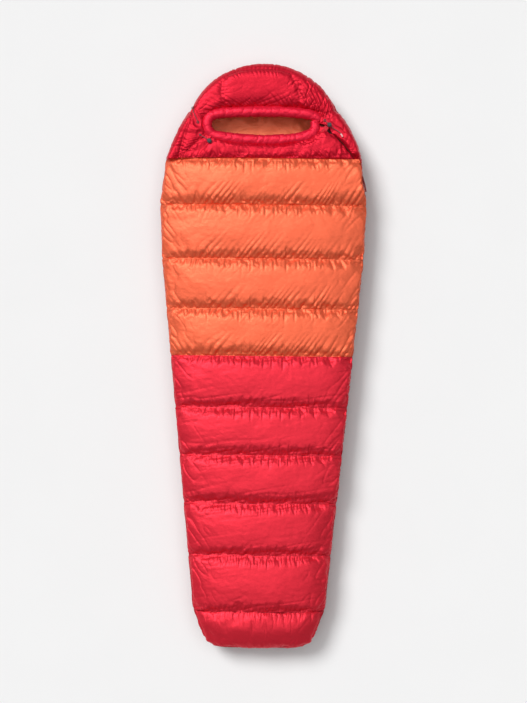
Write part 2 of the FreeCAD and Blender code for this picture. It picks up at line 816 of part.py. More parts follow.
def lay(label, points, radius):
    """A cord through points: straight runs joined by tangent arcs."""
    places = [Vector(*p) for p in points]
    edges, start, radii = [], places[0], []
    for before, here, after in zip(places, places[1:], places[2:]):
        one, two = (here - before), (after - here)
        half_turn = one.getAngle(two) / 2
        shorter = min(one.Length, two.Length)
        back = 0.45 * shorter
        radii.append(back / math.tan(half_turn))
        enter = here - one.normalize() * back
        leave = here + two.normalize() * back
        inward = (leave - here).normalize() + (enter - here).normalize()
        apex_gap = radii[-1] / math.cos(half_turn) - radii[-1]
        middle = here + inward.normalize() * apex_gap
        edges.append(Part.LineSegment(start, enter).toShape())
        edges.append(Part.Arc(enter, middle, leave).toShape())
        start = leave
    edges.append(Part.LineSegment(start, places[-1]).toShape())
    path = Part.Wire(edges)
    heading = (places[1] - places[0]).normalize()
    ring_edge = Part.makeCircle(radius, places[0], heading)
    tube = path.makePipeShell([Part.Wire([ring_edge])], True, True)
    print(label, "length", round(path.Length, 1), "arc radii", [round(r, 1) for r in radii])
    print(label, "volume share", round(tube.Volume / (math.pi * radius**2 * path.Length), 3))
    cord = doc.addObject("Part::Feature", f"{label}_tube")
    cord.Shape = tube
    return keep(cord, label)


def zip_sliders():
    """The upper slider, at the head end of the zip, and the lower one, at its foot end."""
    upper = arc_frame(size("zip_top_angle"), size("zip_height"))
    slider("upper_slider", upper)
    pull("upper_pull", upper, 26)
    outward = Placement(Vector(), Rotation(Vector(0, 1, 0), 90))
    shift = Placement(Vector(size("tape_thick") / 2 + 3.4 - size("edge_inset"), 10, 0), Rotation())
    lower = along_side() * shift * outward
    slider("lower_slider", lower)
    pull("lower_pull", lower, 34)


def garage():
    """The hook-and-loop tab that covers the upper slider, sewn to the folding corner."""
    frame = arc_frame(size("zip_top_angle") + 0.9, value(HOOD_TOP) + 0.3)
    wide = 16
    sewn_end = Placement(Vector(-21, -wide / 2, 0), Rotation())
    root = box("garage_root_block", 9, wide, 1.6, (0, 0, 0))
    keep(moved(root, frame * sewn_end), "garage_root")
    tab = box("garage_tab_block", 23, wide, 1.4, (-11.4, -wide / 2, 0.4))
    grip = box("garage_tab_grip", 5, 12, 0.8, (6.4, -6, 1.6))
    keep(moved(joined("garage_tab_body", [tab, grip]), frame), "garage_tab")


# ---------------------------------------------------------------- drawcords and their fittings

LOCK_LEFT = Vector(-200, 788, 0)
LOCK_RIGHT = Vector(239, 851, 0)
LOCK_STANDS = 0.3
LOCK_CORD = 8
CORD_UP = 2.4


def cord_lock(side, place, turn):
    """A cord lock: a barrel, a sprung button that grips the cord, and the spring below it."""
    base = Vector(place.x, place.y, value(HOOD_TOP) + LOCK_STANDS)
    frame = Placement(base, Rotation(Vector(0, 0, 1), turn))
    across = Vector(1, 0, 0)
    barrel = doc.addObject("Part::Cut", f"barrel_{side}")
    barrel.Base = cylinder(f"barrel_{side}_outer", 8, 14, (0, 0, 0))
    holes = [cylinder(f"barrel_{side}_well", 4.8, 13, (0, 0, 2))]
    holes.append(cylinder(f"barrel_{side}_hole", 2.7, 20, (-10, 0, LOCK_CORD), across))
    barrel.Tool = joined(f"barrel_{side}_holes", holes)
    moved(barrel, frame)
    button = doc.addObject("Part::Cut", f"button_{side}")
    button.Base = cylinder(f"button_{side}_outer", 4.5, 12, (0, 0, 6.2))
    button.Tool = box(f"button_{side}_slot", 12, 4.6, 7.1, (-6, -2.3, 5.9))
    keep(moved(button, frame), f"cord_lock_button_{side}")
    spring = doc.addObject("Part::Cut", f"spring_{side}")
    spring.Base = cylinder(f"spring_{side}_outer", 4.1, 4.0, (0, 0, 2.1))
    spring.Tool = cylinder(f"spring_{side}_inner", 3.3, 4.2, (0, 0, 2.0))
    keep(moved(spring, frame), f"cord_lock_spring_{side}")
    return barrel


def eyelets():
    """The eyelets where the drawcords leave their tunnels."""
    rings = []
    for number, (x, y) in enumerate(((-262, 908), (-243, 856), (222, 868), (-182, 775))):
        ring_base = doc.addObject("Part::Cut", f"eyelet_{number}")
        ring_base.Base = cylinder(f"eyelet_{number}_outer", 5, 0.6, (0, 0, 0))
        ring_base.Tool = cylinder(f"eyelet_{number}_hole", 2.6, 2, (0, 0, -0.4))
        rings.append(moved(ring_base, Placement(Vector(x, y, value(HOOD_TOP) + 0.1), Rotation())))
    group("cord_eyelets", rings)


def cords():
    """The drawcords' free tails, and the elastic between the two eyelets on the left cheek."""
    lies = value(HOOD_TOP) + CORD_UP
    held = value(HOOD_TOP) + LOCK_STANDS + LOCK_CORD
    radius = size("cord_radius")
    right = [
        (222, 868, lies),
        (226, 864.5, lies + 1.3),
        (232, 857.6, held - 0.7),
        (239, 851, held),
        (246, 844.6, held - 0.5),
        (254, 838, held - 3.0),
        (263, 833, lies + 0.7),
        (273, 827.5, lies),
        (281.5, 819.5, lies),
    ]
    left = [
        (-182, 775, lies),
        (-187, 779, lies + 1.3),
        (-193.2, 783.2, held - 0.7),
        (-200, 788, held),
        (-207.5, 793.6, held - 0.5),
        (-216, 799.5, held - 3.0),
        (-224.5, 803.5, lies + 0.7),
        (-233, 809.5, lies),
    ]
    elastic = [
        (-262, 908, lies),
        (-261, 900, lies + 0.5),
        (-256.5, 887, lies + 0.8),
        (-250, 873, lies + 0.8),
        (-245, 864, lies + 0.5),
        (-243, 856, lies),
    ]
    lay("drawcord_tail_right", right, radius)
    lay("drawcord_tail_left", left, radius)
    lay("hood_elastic", elastic, radius)
    along_tail = Rotation(Vector(0, 0, 1), Vector(5, -9, 0))
    end_place = Placement(Vector(281.8, 819.0, lies + 1.6), along_tail)
    keep(moved(cylinder("end_right", 3.2, 13, (0, 0, 0)), end_place), "cord_end_right")


def build():
    chest_chamber()
    top_chambers()
    back_chambers()
    side_wall(-1, "side_wall_left")
    side_wall(1, "side_wall_right")
    foot_wall()
    walls_top = f"{SPACE_TOP} + 0.8 * top_loft"
    baffle_walls("top_baffle_walls", f"{SPACE_TOP} + 1", walls_top, 47, 1)
    baffle_walls("back_baffle_walls", "4", "back_loft - 4", 48, 1)
    hood_back()
    hood_crown()
    hood_cheeks()
    hood_wall()
    rims()
    neck_left()
    folding_corner()
    draft_collar()
    linings()
    zip_on_corner()
    zip_on_bag()
    zip_sliders()
    garage()
    barrels = [cord_lock("left", LOCK_LEFT, -35), cord_lock("right", LOCK_RIGHT, -40)]
    group("cord_lock_barrels", barrels)
    eyelets()
    cords()


def export():
    doc.recompute()
    for thing in doc.Objects:
        if "Invalid" in thing.State or "Error" in thing.State:
            raise RuntimeError(f"{thing.Name} ({thing.Label}) failed: {thing.State}")
    for label, thing in NODES.items():
        if thing.Shape.isNull() or not thing.Shape.isValid():
            raise RuntimeError(f"{label} has no valid shape")
    os.makedirs("parts", exist_ok=True)
    for label, thing in NODES.items():
        thing.Shape.exportStep(f"parts/{label}.step")
    print(len(NODES), "sub-parts")


build()
doc.removeObject("Probe")
export()
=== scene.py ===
import json
import math

import bmesh
import bpy
import numpy as np
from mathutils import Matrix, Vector


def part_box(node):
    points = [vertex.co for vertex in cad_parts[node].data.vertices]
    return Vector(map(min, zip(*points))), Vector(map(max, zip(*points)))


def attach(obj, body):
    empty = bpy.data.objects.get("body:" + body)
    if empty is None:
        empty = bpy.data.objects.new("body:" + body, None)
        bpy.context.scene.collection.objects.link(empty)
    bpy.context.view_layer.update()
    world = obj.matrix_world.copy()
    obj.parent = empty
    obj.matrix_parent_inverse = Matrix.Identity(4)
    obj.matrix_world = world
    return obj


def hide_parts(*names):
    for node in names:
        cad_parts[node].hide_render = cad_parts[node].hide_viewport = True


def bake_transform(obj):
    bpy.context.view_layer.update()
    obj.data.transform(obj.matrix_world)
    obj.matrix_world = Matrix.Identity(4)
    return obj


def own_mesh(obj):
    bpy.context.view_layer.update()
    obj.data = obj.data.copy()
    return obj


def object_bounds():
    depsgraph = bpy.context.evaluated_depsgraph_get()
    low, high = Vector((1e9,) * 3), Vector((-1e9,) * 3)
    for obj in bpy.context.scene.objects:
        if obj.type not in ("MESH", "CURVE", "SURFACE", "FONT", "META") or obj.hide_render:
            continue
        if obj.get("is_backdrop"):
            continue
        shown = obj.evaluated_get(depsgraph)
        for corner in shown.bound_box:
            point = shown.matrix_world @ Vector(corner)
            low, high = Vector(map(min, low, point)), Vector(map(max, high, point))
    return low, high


# A down-filled mummy sleeping bag, zipped shut on a pale floor and seen from straight above.
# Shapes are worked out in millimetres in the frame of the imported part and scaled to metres
# when a mesh is made: +X is the zip side, +Y points to the head, +Z is up.

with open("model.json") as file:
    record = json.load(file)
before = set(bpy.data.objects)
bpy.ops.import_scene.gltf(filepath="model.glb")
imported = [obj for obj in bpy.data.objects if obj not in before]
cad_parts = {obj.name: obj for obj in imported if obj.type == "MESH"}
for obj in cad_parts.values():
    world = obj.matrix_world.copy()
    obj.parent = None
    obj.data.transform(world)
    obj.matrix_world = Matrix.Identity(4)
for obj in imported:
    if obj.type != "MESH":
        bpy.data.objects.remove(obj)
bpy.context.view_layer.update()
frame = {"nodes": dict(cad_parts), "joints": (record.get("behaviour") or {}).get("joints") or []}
scene = bpy.context.scene
MM = 0.001  # metres in a millimetre

# ---- places read from the part


def box_mm(node):
    low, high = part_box(node)
    return np.array(low) / MM, np.array(high) / MM


SHELL_OUT = 8  # from the ends of a CAD chamber to the bag's outline
SEAM_ROOM = 0.5  # from a chamber to the middle of the seam beside it
CHAMBERS = ["chest", "ribs", "waist", "hips", "thigh", "knee", "calf", "shin", "ankle"]
tops = {name: box_mm(f"top_chamber_{name}") for name in CHAMBERS}
NECK_Y = tops["chest"][1][1] + SEAM_ROOM
SEAM_Y = [NECK_Y] + [tops[name][0][1] - SEAM_ROOM for name in CHAMBERS]
wide_boxes = [box_mm("hood_back"), *(tops[name] for name in CHAMBERS[1:])]
SEAM_HALF = [high[0] + SHELL_OUT for _, high in [*wide_boxes, box_mm("top_chamber_foot")]]
CHEST_Y, HIPS_Y = SEAM_Y[1], SEAM_Y[4]
SPACE_TOP = box_mm("top_chamber_ribs")[0][2]
BAG_TOP = box_mm("top_chamber_ribs")[1][2]
HOOD_TOP = box_mm("hood_crown_panel")[1][2]
END_Y = box_mm("top_chamber_foot")[0][1]
CROWN_TOP = box_mm("hood_crown_panel")[1][1]
CROWN_R = 297  # the hood's outline is a circle above CROWN_START
CROWN_Y = CROWN_TOP - CROWN_R
CROWN_START = 914
HOOD_TURN = 900  # above this, distances are taken from the crown's circle
HOOD_SEAMS = [833, CROWN_START]

joints = {j["name"]: j for j in frame["joints"]}
ZIP_CENTRE = np.array(joints["upper_slider_travel"]["pos_m"])[:2] / MM
ZIP_Z = joints["upper_slider_travel"]["pos_m"][2] / MM
ZIP_R = 333
CHIN_CENTRE, CHIN_R = np.array([0.0, 1354.0]), 557.0
RIM_Z = 134
RIM_R = 18.0


def blend_corner(piece):
    """Bakes the piece's placement into its mesh."""
    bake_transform(piece)


# ---- camera

# Straight above the bag, with the photograph's small offset and turn.
CAMERA_HEIGHT = 6.23
camera_data = bpy.data.cameras.new("camera")
camera_data.lens = 85
camera = bpy.data.objects.new("camera", camera_data)
camera.location = (0.0068, 0.0184, CAMERA_HEIGHT)
camera.rotation_euler = (0, 0, math.radians(0.62))
scene.collection.objects.link(camera)
scene.camera = camera
scene.view_settings.view_transform = "Standard"

# ---- materials


WAVE_SCALE = 0.314  # the wave texture's scale for bands one metre apart


class Nodes:
    """A short way to build a material's node tree."""

    def __init__(self, name, **settings):
        self.material = bpy.data.materials.new(name)
        self.material.use_nodes = True
        self.tree = self.material.node_tree
        self.tree.nodes.clear()
        self.out = self.tree.nodes.new("ShaderNodeOutputMaterial")
        self.shader = self.tree.nodes.new("ShaderNodeBsdfPrincipled")
        self.link(self.shader.outputs[0], self.out.inputs["Surface"])
        for socket, value in settings.items():
            self.shader.inputs[socket.replace("_", " ")].default_value = value
        self.place = self.new("ShaderNodeTexCoord").outputs["Object"]

    def new(self, kind, **settings):
        node = self.tree.nodes.new(kind)
        for key, value in settings.items():
            setattr(node, key, value)
        return node

    def link(self, a, b):
        self.tree.links.new(a, b)

    def noise(self, scale, detail=3, stretch=None, rough=0.55):
        node = self.new("ShaderNodeTexNoise")
        node.inputs["Scale"].default_value = scale
        node.inputs["Detail"].default_value = detail
        node.inputs["Roughness"].default_value = rough
        self.link(self.stretched(stretch), node.inputs["Vector"])
        return node.outputs["Fac"]

    def stretched(self, stretch):
        if stretch is None:
            return self.place
        node = self.new("ShaderNodeMapping")
        node.inputs["Scale"].default_value = stretch
        self.link(self.place, node.inputs["Vector"])
        return node.outputs[0]

    def bands(self, period, direction):
        """Threads: bands a period apart, in metres."""
        node = self.new("ShaderNodeTexWave", bands_direction=direction)
        node.inputs["Scale"].default_value = WAVE_SCALE / period
        node.inputs["Distortion"].default_value = 0.6
        node.inputs["Detail"].default_value = 1
        self.link(self.place, node.inputs["Vector"])
        return node.outputs["Fac"]

    def math(self, operation, a, b):
        node = self.new("ShaderNodeMath", operation=operation)
        for number, value in enumerate((a, b)):
            if isinstance(value, (int, float)):
                node.inputs[number].default_value = value
            else:
                self.link(value, node.inputs[number])
        return node.outputs[0]

    def ramp(self, value, low, high, start=0.3, end=0.7):
        node = self.new("ShaderNodeValToRGB")
        node.color_ramp.elements[0].position = start
        node.color_ramp.elements[1].position = end
        node.color_ramp.elements[0].color = (*low, 1)
        node.color_ramp.elements[1].color = (*high, 1)
        self.link(value, node.inputs["Fac"])
        return node.outputs["Color"]

    def mix(self, fac, a, b):
        node = self.new("ShaderNodeMix", data_type="RGBA")
        self.link(fac, node.inputs[0])
        for number, value in ((6, a), (7, b)):
            if isinstance(value, tuple):
                node.inputs[number].default_value = (*value, 1)
            else:
                self.link(value, node.inputs[number])
        return node.outputs[2]

    def attribute(self, name):
        node = self.new("ShaderNodeAttribute", attribute_name=name)
        return node.outputs["Fac"]

    def bump(self, heights):
        """Stacked bumps: pairs of a height output and its depth in metres."""
        last = None
        for height, depth in heights:
            node = self.new("ShaderNodeBump")
            node.inputs["Strength"].default_value = 1
            node.inputs["Distance"].default_value = depth
            self.link(height, node.inputs["Height"])
            if last is not None:
                self.link(last, node.inputs["Normal"])
            last = node.outputs[0]
        self.link(last, self.shader.inputs["Normal"])

    def colour(self, output):
        self.link(output, self.shader.inputs["Base Color"])


def tinted(colour, share):
    return tuple(min(1.0, c * share) for c in colour)


STITCH_PITCH = 0.0042
STITCH_GAP = 0.32  # share of the pitch without thread
STITCH_LINE = 0.86  # the stitches show where "seam" is above this
# how strongly painted shade darkens a seam's line
SEAM_SHADE = 0.16
YARN_PITCH = 0.0011
BRAID_PITCH = 0.0016


def shell_fabric(name, colour, thread, sheen=0.04, pucker=0.0009, lustre=0.5):
    """Thin lustrous nylon: plain weave, fine crumples, painted shade along the seams and a dashed
    line of stitches.

    "seam" is 1 on a seam's line and falls to 0 beside it, and "stitch" is the length along it.
    """
    made = Nodes(name, Roughness=0.43, Sheen_Weight=sheen, Sheen_Roughness=0.45, Metallic=lustre)
    made.shader.inputs["Specular IOR Level"].default_value = 0.22
    made.shader.inputs["Sheen Tint"].default_value = (*colour, 1)
    cloudy = made.ramp(made.noise(7, 4), tinted(colour, 0.97), tinted(colour, 1.03))
    worn = made.ramp(made.noise(90, 3), (0.97,) * 3, (1.02,) * 3)
    both = made.new("ShaderNodeMix", data_type="RGBA", blend_type="MULTIPLY")
    both.inputs[0].default_value = 1
    made.link(cloudy, both.inputs[6])
    made.link(worn, both.inputs[7])
    seam = made.attribute("seam")
    # painted shade: the colour darkens towards each seam's line, where the fabric dips
    shade = made.math("MULTIPLY", seam, SEAM_SHADE)
    shaded = made.mix(shade, both.outputs[2], tinted(colour, 0.5))
    stitches = made.math("DIVIDE", made.attribute("stitch"), STITCH_PITCH)
    dash = made.math("GREATER_THAN", made.math("FRACT", stitches, 0), STITCH_GAP)
    line = made.math("GREATER_THAN", seam, STITCH_LINE)
    made.colour(made.mix(made.math("MULTIPLY", dash, line), shaded, thread))
    weave = made.math("ADD", made.bands(YARN_PITCH, "X"), made.bands(YARN_PITCH, "Y"))
    creases = made.noise(48, 4, (1.0, 1.7, 1.0), 0.6)
    crumple = made.noise(19, 3, (1.0, 1.4, 1.0))
    made.bump([(crumple, 0.0012), (creases, pucker), (weave, 0.00005)])
    return made.material


def woven_tape(name, colour):
    """Narrow woven webbing with a herringbone of raised threads."""
    made = Nodes(name, Roughness=0.75, Sheen_Weight=0.15)
    made.colour(made.ramp(made.noise(220, 2), tinted(colour, 0.8), tinted(colour, 1.2)))
    ribs = made.math("MULTIPLY", made.bands(BRAID_PITCH, "Y"), made.bands(YARN_PITCH, "DIAGONAL"))
    made.bump([(ribs, 0.0002)])
    return made.material


def moulded(name, colour, rough=0.4):
    """Moulded plastic with a fine grain and faint scuffs."""
    made = Nodes(name, Roughness=rough)
    made.colour(made.ramp(made.noise(60, 4), tinted(colour, 0.85), tinted(colour, 1.25)))
    made.bump([(made.noise(900, 2), 0.00004)])
    return made.material


def metal(name, colour, rough):
    """Coated or drawn metal with fine brushed lines."""
    made = Nodes(name, Roughness=rough, Metallic=0.9)
    made.colour(made.ramp(made.noise(200, 3), tinted(colour, 0.8), tinted(colour, 1.15)))
    made.bump([(made.noise(700, 2, (1.0, 8.0, 1.0)), 0.00003)])
    return made.material


def braided(name, colour):
    """Elastic cord's braided cover, flecked where the rubber core's yarns cross."""
    made = Nodes(name, Roughness=0.65, Sheen_Weight=0.2)
    crossed = made.bands(BRAID_PITCH, "DIAGONAL"), made.bands(0.0013, "Y")
    weave = made.math("MULTIPLY", *crossed)
    made.colour(made.ramp(weave, tinted(colour, 0.55), tinted(colour, 1.15), 0.1, 0.6))
    made.bump([(weave, 0.0002)])
    return made.material


ORANGE = (0.86, 0.142, 0.062)
RED = (0.72, 0.022, 0.043)
HOOD_RED = (0.58, 0.006, 0.025)
RIM_RED = (0.76, 0.012, 0.044)
# painted shade: the back and side walls are the red shell fabric darkened to the shade along the
# bag's sides
SHADED_BACK_RED = (0.36, 0.007, 0.022)
LINING = (0.80, 0.165, 0.072)
THREAD_RED = (0.34, 0.006, 0.016)
THREAD_ORANGE = (0.62, 0.085, 0.03)

orange_shell = shell_fabric("orange_nylon", ORANGE, THREAD_ORANGE)
red_shell = shell_fabric("red_nylon", RED, THREAD_RED)
hood_shell = shell_fabric("hood_nylon", HOOD_RED, THREAD_RED, pucker=0.0012)
rim_shell = shell_fabric("rim_nylon", RIM_RED, THREAD_RED, pucker=0.0012, lustre=0.4)
shaded_back_shell = shell_fabric("back_red_nylon_painted_shade", SHADED_BACK_RED, THREAD_RED, sheen=0.05)
lining = shell_fabric("lining_nylon", LINING, THREAD_ORANGE, 0.05, 0.0015, 0.15)
zip_tape = woven_tape("zip_tape_weave", (0.20, 0.012, 0.016))
webbing = woven_tape("pull_webbing_weave", (0.018, 0.018, 0.02))
tab_fabric = woven_tape("tab_weave", (0.62, 0.006, 0.026))
teeth_plastic = moulded("teeth_nylon", (0.20, 0.008, 0.016))
lock_plastic = moulded("lock_nylon", (0.02, 0.02, 0.022))
button_plastic = moulded("button_nylon", (0.035, 0.035, 0.04), 0.32)
end_plastic = moulded("cord_end_gloss", (0.86, 0.42, 0.42), 0.22)
slider_metal = metal("slider_coating", (0.16, 0.012, 0.02), 0.45)
eyelet_metal = metal("eyelet_coating", (0.05, 0.045, 0.045), 0.35)
spring_steel = metal("spring_steel", (0.6, 0.6, 0.62), 0.25)
elastic = braided("elastic_braid", (0.36, 0.05, 0.07))

# ---- drawcords, before the fabric

LIES = HOOD_TOP + 2.4  # a cord's height where it lies on the hood
HELD = HOOD_TOP + 8.3  # and where it passes through its lock


def cord_curve(name, points, radius, material):
    """A smooth cord whose control points are the points of its route."""
    data = bpy.data.curves.new(name, "CURVE")
    data.dimensions = "3D"
    line = data.splines.new("NURBS")
    line.points.add(len(points) - 1)
    for point, (x, y, z) in zip(line.points, points):
        point.co = (x * MM, y * MM, z * MM, 1)
    line.order_u = 3
    line.use_endpoint_u = True
    line.resolution_u = 10
    data.bevel_depth = radius * MM
    data.bevel_resolution = 4
    data.use_fill_caps = True
    data.materials.append(material)
    cord = bpy.data.objects.new(name, data)
    scene.collection.objects.link(cord)
    return cord


def curve_line(cord):
    """The points that the cord's own spline runs through, in millimetres."""
    bare = cord.copy()
    bare.data = cord.data.copy()
    bare.data.bevel_depth = 0
    bare.data.use_fill_caps = False
    scene.collection.objects.link(bare)
    bpy.context.view_layer.update()
    graph = bpy.context.evaluated_depsgraph_get()
    mesh = bpy.data.meshes.new_from_object(bare.evaluated_get(graph))
    line = np.array([v.co for v in mesh.vertices]) / MM
    bpy.data.objects.remove(bare)
    return line


TAIL_RIGHT = [
    (222, 868, LIES),
    (226, 864.5, LIES + 1.3),
    (232, 857.6, HELD - 0.7),
    (239, 851, HELD),
    (246, 844.6, HELD - 0.5),
    (254, 838, HELD - 3.0),
    (263, 833, LIES + 0.7),
    (273, 827.5, LIES),
    (281.5, 819.5, LIES),
]
TAIL_LEFT = [
    (-182, 775, LIES),
    (-187, 779, LIES + 1.3),
    (-193.2, 783.2, HELD - 0.7),
    (-200, 788, HELD),
    (-207.5, 793.6, HELD - 0.5),
    (-216, 799.5, HELD - 3.0),
    (-224.5, 803.5, LIES + 0.7),
    (-233, 809.5, LIES),
]
ELASTIC = [
    (-262, 908, LIES),
    (-261, 900, LIES + 0.5),
    (-256.5, 887, LIES + 0.8),
    (-250, 873, LIES + 0.8),
    (-245, 864, LIES + 0.5),
    (-243, 856, LIES),
]
CORD_R = 1.5
tail_right = cord_curve("tail_right", TAIL_RIGHT, CORD_R, elastic)
tail_left = cord_curve("tail_left", TAIL_LEFT, CORD_R, elastic)
loop_left = cord_curve("loop_left", ELASTIC, CORD_R, elastic)

# ---- numbers that vary smoothly


def noise2(x, y, seed):
    """Smooth noise from -1 to 1 with features about one unit across."""
    table = np.random.default_rng(seed).uniform(-1, 1, (128, 128))
    x, y = np.broadcast_arrays(np.asarray(x, float), np.asarray(y, float))
    xi, yi = np.floor(x).astype(int), np.floor(y).astype(int)
    fx, fy = x - xi, y - yi
    fx, fy = fx * fx * (3 - 2 * fx), fy * fy * (3 - 2 * fy)
    left, right, near, far = xi % 128, (xi + 1) % 128, yi % 128, (yi + 1) % 128
    low = table[left, near] * (1 - fx) + table[right, near] * fx
    high = table[left, far] * (1 - fx) + table[right, far] * fx
    return low * (1 - fy) + high * fy


def creased(u, v, seed, width=0.16):
    """Sharp folds along the lines where smooth noise changes sign, from 0 down to -1."""
    return -np.exp(-np.abs(noise2(u, v, seed)) / width)


def smooth(x, start, end):
    """From 0 at the start to 1 at the end, level at both."""
    t = np.clip((np.asarray(x, float) - start) / (end - start), 0, 1)
    return t * t * (3 - 2 * t)


def unit(vectors):
    return vectors / np.linalg.norm(vectors, axis=1, keepdims=True)


def tangents(line):
    return unit(np.gradient(line, axis=0))


def beside(directions):
    """Plan directions turned a quarter to the left."""
    return np.stack([-directions[:, 1], directions[:, 0]], 1)


def lengths(points):
    """The length along a polyline to each of its points."""
    steps = np.linalg.norm(np.diff(points, axis=0), axis=1)
    return np.concatenate([[0], np.cumsum(steps)])


def resampled(points, count):
    """Points an equal distance apart along a polyline."""
    at = lengths(points)
    wanted = np.linspace(0, at[-1], count)
    return np.stack([np.interp(wanted, at, points[:, k]) for k in range(points.shape[1])], 1)


def rounded(path, times=3):
    """A polyline with its corners cut."""
    path = np.asarray(path, float)
    for _ in range(times):
        a, b = path[:-1], path[1:]
        cut = np.stack([0.75 * a + 0.25 * b, 0.25 * a + 0.75 * b], 1).reshape(-1, path.shape[1])
        path = np.vstack([path[:1], cut, path[-1:]])
    return path


def arc_points(centre, radius, start, end, count):
    angles = np.radians(np.linspace(start, end, count))
    x, y = centre[0] + radius * np.cos(angles), centre[1] + radius * np.sin(angles)
    return np.stack([x, y], 1)


def pleats(along, away, seed, period, reach, depth, lean=0.0):
    """Puckers that run away from a line of stitches, in uneven groups."""
    across = along - lean * away
    phase = across / period + 0.9 * noise2(across / (2.6 * period), 0.3, seed)
    lively = 0.5 + 0.5 * noise2(across / (1.6 * period), 0.7, seed + 1)
    ridge = np.abs(np.sin(np.pi * phase)) ** 0.7 - 0.62
    far = reach * (0.3 + 1.2 * lively)
    envelope = np.exp(-((away / far) ** 1.4)) * (1 - np.exp(-away / 2.5))
    return depth * (0.3 + 0.9 * lively) * ridge * envelope


# ---- outline

FOOT_OUTLINE = [(-1075, 108), (-1066, 160), (-1052, 188), (-1007, 213)]
HOOD_OUTLINE = [(790, 337), (833, 316), (880, 289), (CROWN_START, 267)]
known_y = [y for y, _ in FOOT_OUTLINE] + SEAM_Y[::-1] + [y for y, _ in HOOD_OUTLINE]
known_half = [h for _, h in FOOT_OUTLINE] + SEAM_HALF[::-1] + [h for _, h in HOOD_OUTLINE]
FINE_Y = np.arange(END_Y, CROWN_TOP + 0.5, 1.0)


def outline_table():
    """Half the bag's width at each height up the bag, with its corners eased."""
    half = np.interp(FINE_Y, known_y, known_half)
    crown = np.sqrt(np.maximum(CROWN_R**2 - (FINE_Y - CROWN_Y) ** 2, 0))
    half = np.where(FINE_Y > CROWN_START, crown, half)
    reach = 36
    kernel = np.exp(-0.5 * (np.arange(-reach, reach + 1) / 12.0) ** 2)
    kernel /= kernel.sum()
    eased = np.convolve(np.pad(half, reach, mode="edge"), kernel, mode="valid")
    share = smooth(FINE_Y, -1040, -1010) * (1 - smooth(FINE_Y, 960, 1010))
    return eased * share + half * (1 - share)


FINE_HALF = outline_table()
LAST_SEAM_RISE = 85.0  # how far below the last seam the foot is full


def half_at(y):
    return np.interp(y, FINE_Y, FINE_HALF)


def puffed(y):
    """From 0 at a seam to 1 in the middle of a chamber."""
    bounds_y = np.array(SEAM_Y[::-1])
    k = np.clip(np.searchsorted(bounds_y, y) - 1, 0, len(bounds_y) - 2)
    t = np.clip((y - bounds_y[k]) / (bounds_y[k + 1] - bounds_y[k]), 0, 1)
    fall = np.clip((bounds_y[0] - y) / LAST_SEAM_RISE, 0, 1)
    t = np.where(y < bounds_y[0], fall / 2, t)
    return (1 - np.abs(2 * t - 1) ** 2.2) ** 0.68


# ---- meshes from grids


def quads(index, flip=False):
    """The faces between neighbours in a grid of vertex numbers."""
    a, b, c, d = index[:-1, :-1], index[:-1, 1:], index[1:, 1:], index[1:, :-1]
    faces = np.stack([a, b, c, d] if not flip else [a, d, c, b], -1)
    return faces.reshape(-1, 4)


def make_mesh(name, points, faces, materials, slots=None, attributes=None):
    mesh = bpy.data.meshes.new(name)
    mesh.from_pydata((points * MM).tolist(), [], faces.tolist())
    for material in materials:
        mesh.materials.append(material)
    if slots is not None:
        mesh.polygons.foreach_set("material_index", slots.astype(np.int32))
    mesh.polygons.foreach_set("use_smooth", np.ones(len(mesh.polygons), bool))
    for key, values in (attributes or {}).items():
        layer = mesh.attributes.new(key, "FLOAT", "POINT")
        layer.data.foreach_set("value", values.astype(np.float32))
    mesh.update()
    made = bpy.data.objects.new(name, mesh)
    scene.collection.objects.link(made)
    return made


def smoother(piece):
    modifier = piece.modifiers.new("smoother", "SUBSURF")
    modifier.levels = modifier.render_levels = 1
    return piece


def cap_ends(piece):
    """Closes the open ends of a tube."""
    work = bmesh.new()
    work.from_mesh(piece.data)
    bmesh.ops.holes_fill(work, edges=[e for e in work.edges if e.is_boundary], sides=0)
    bmesh.ops.recalc_face_normals(work, faces=work.faces)
    for face in work.faces:
        face.smooth = True
    work.to_mesh(piece.data)
    work.free()


def closed_rings(rows, cols):
    """Vertex numbers of a stack of rings, with each ring's first number again at its end."""
    index = np.arange(rows * cols).reshape(rows, cols)
    return np.hstack([index, index[:, :1]])


def tube(name, points, material, flip=True, sewn=False):
    """A closed tube through rings of points. A sewn one has the attributes its fabric reads."""
    flat = points.reshape(-1, 3)
    zeros = np.zeros(len(flat))
    attributes = {"seam": zeros, "stitch": zeros} if sewn else None
    faces = quads(closed_rings(*points.shape[:2]), flip)
    piece = make_mesh(name, flat, faces, [material], None, attributes)
    cap_ends(piece)
    return piece


def turns(count):
    """Angles all the way round a ring."""
    return [2 * math.pi * k / count for k in range(count)]


def section(left, right, z_left, z_right, top, count, power=2.1, tuck_left=9.0, tuck_right=9.0):
    """A puffed cross-section from a left edge over the top to a right edge, as (across, height).

    Its first and last points are tucked in under the edges.
    """
    s = np.sin(np.linspace(-math.pi / 2, math.pi / 2, 241))
    s = np.sign(s) * np.abs(s) ** 0.55
    middle, half = (left + right) / 2, (right - left) / 2
    edge = z_left + (z_right - z_left) * (s + 1) / 2
    rise = np.sqrt(np.maximum(1 - np.abs(s) ** power, 0))
    line = np.stack([middle + half * s, edge + np.maximum(top - edge, 2) * rise], 1)
    ends = resampled(line, count - 2)
    first = [left + tuck_left, z_left - 6]
    last = [right - tuck_right, z_right - 6]
    return np.vstack([first, ends, last])


def doubled(values):
    """A grid with a point added between every two neighbours, on smooth curves through them."""
    for _ in range(2):
        padded = np.concatenate([values[:1], values, values[-1:]])
        between = (9 * (padded[1:-2] + padded[2:-1]) - padded[:-3] - padded[3:]) / 16
        full = np.empty((2 * len(values) - 1, *values.shape[1:]))
        full[::2], full[1::2] = values, between
        values = full.swapaxes(0, 1)
    return values


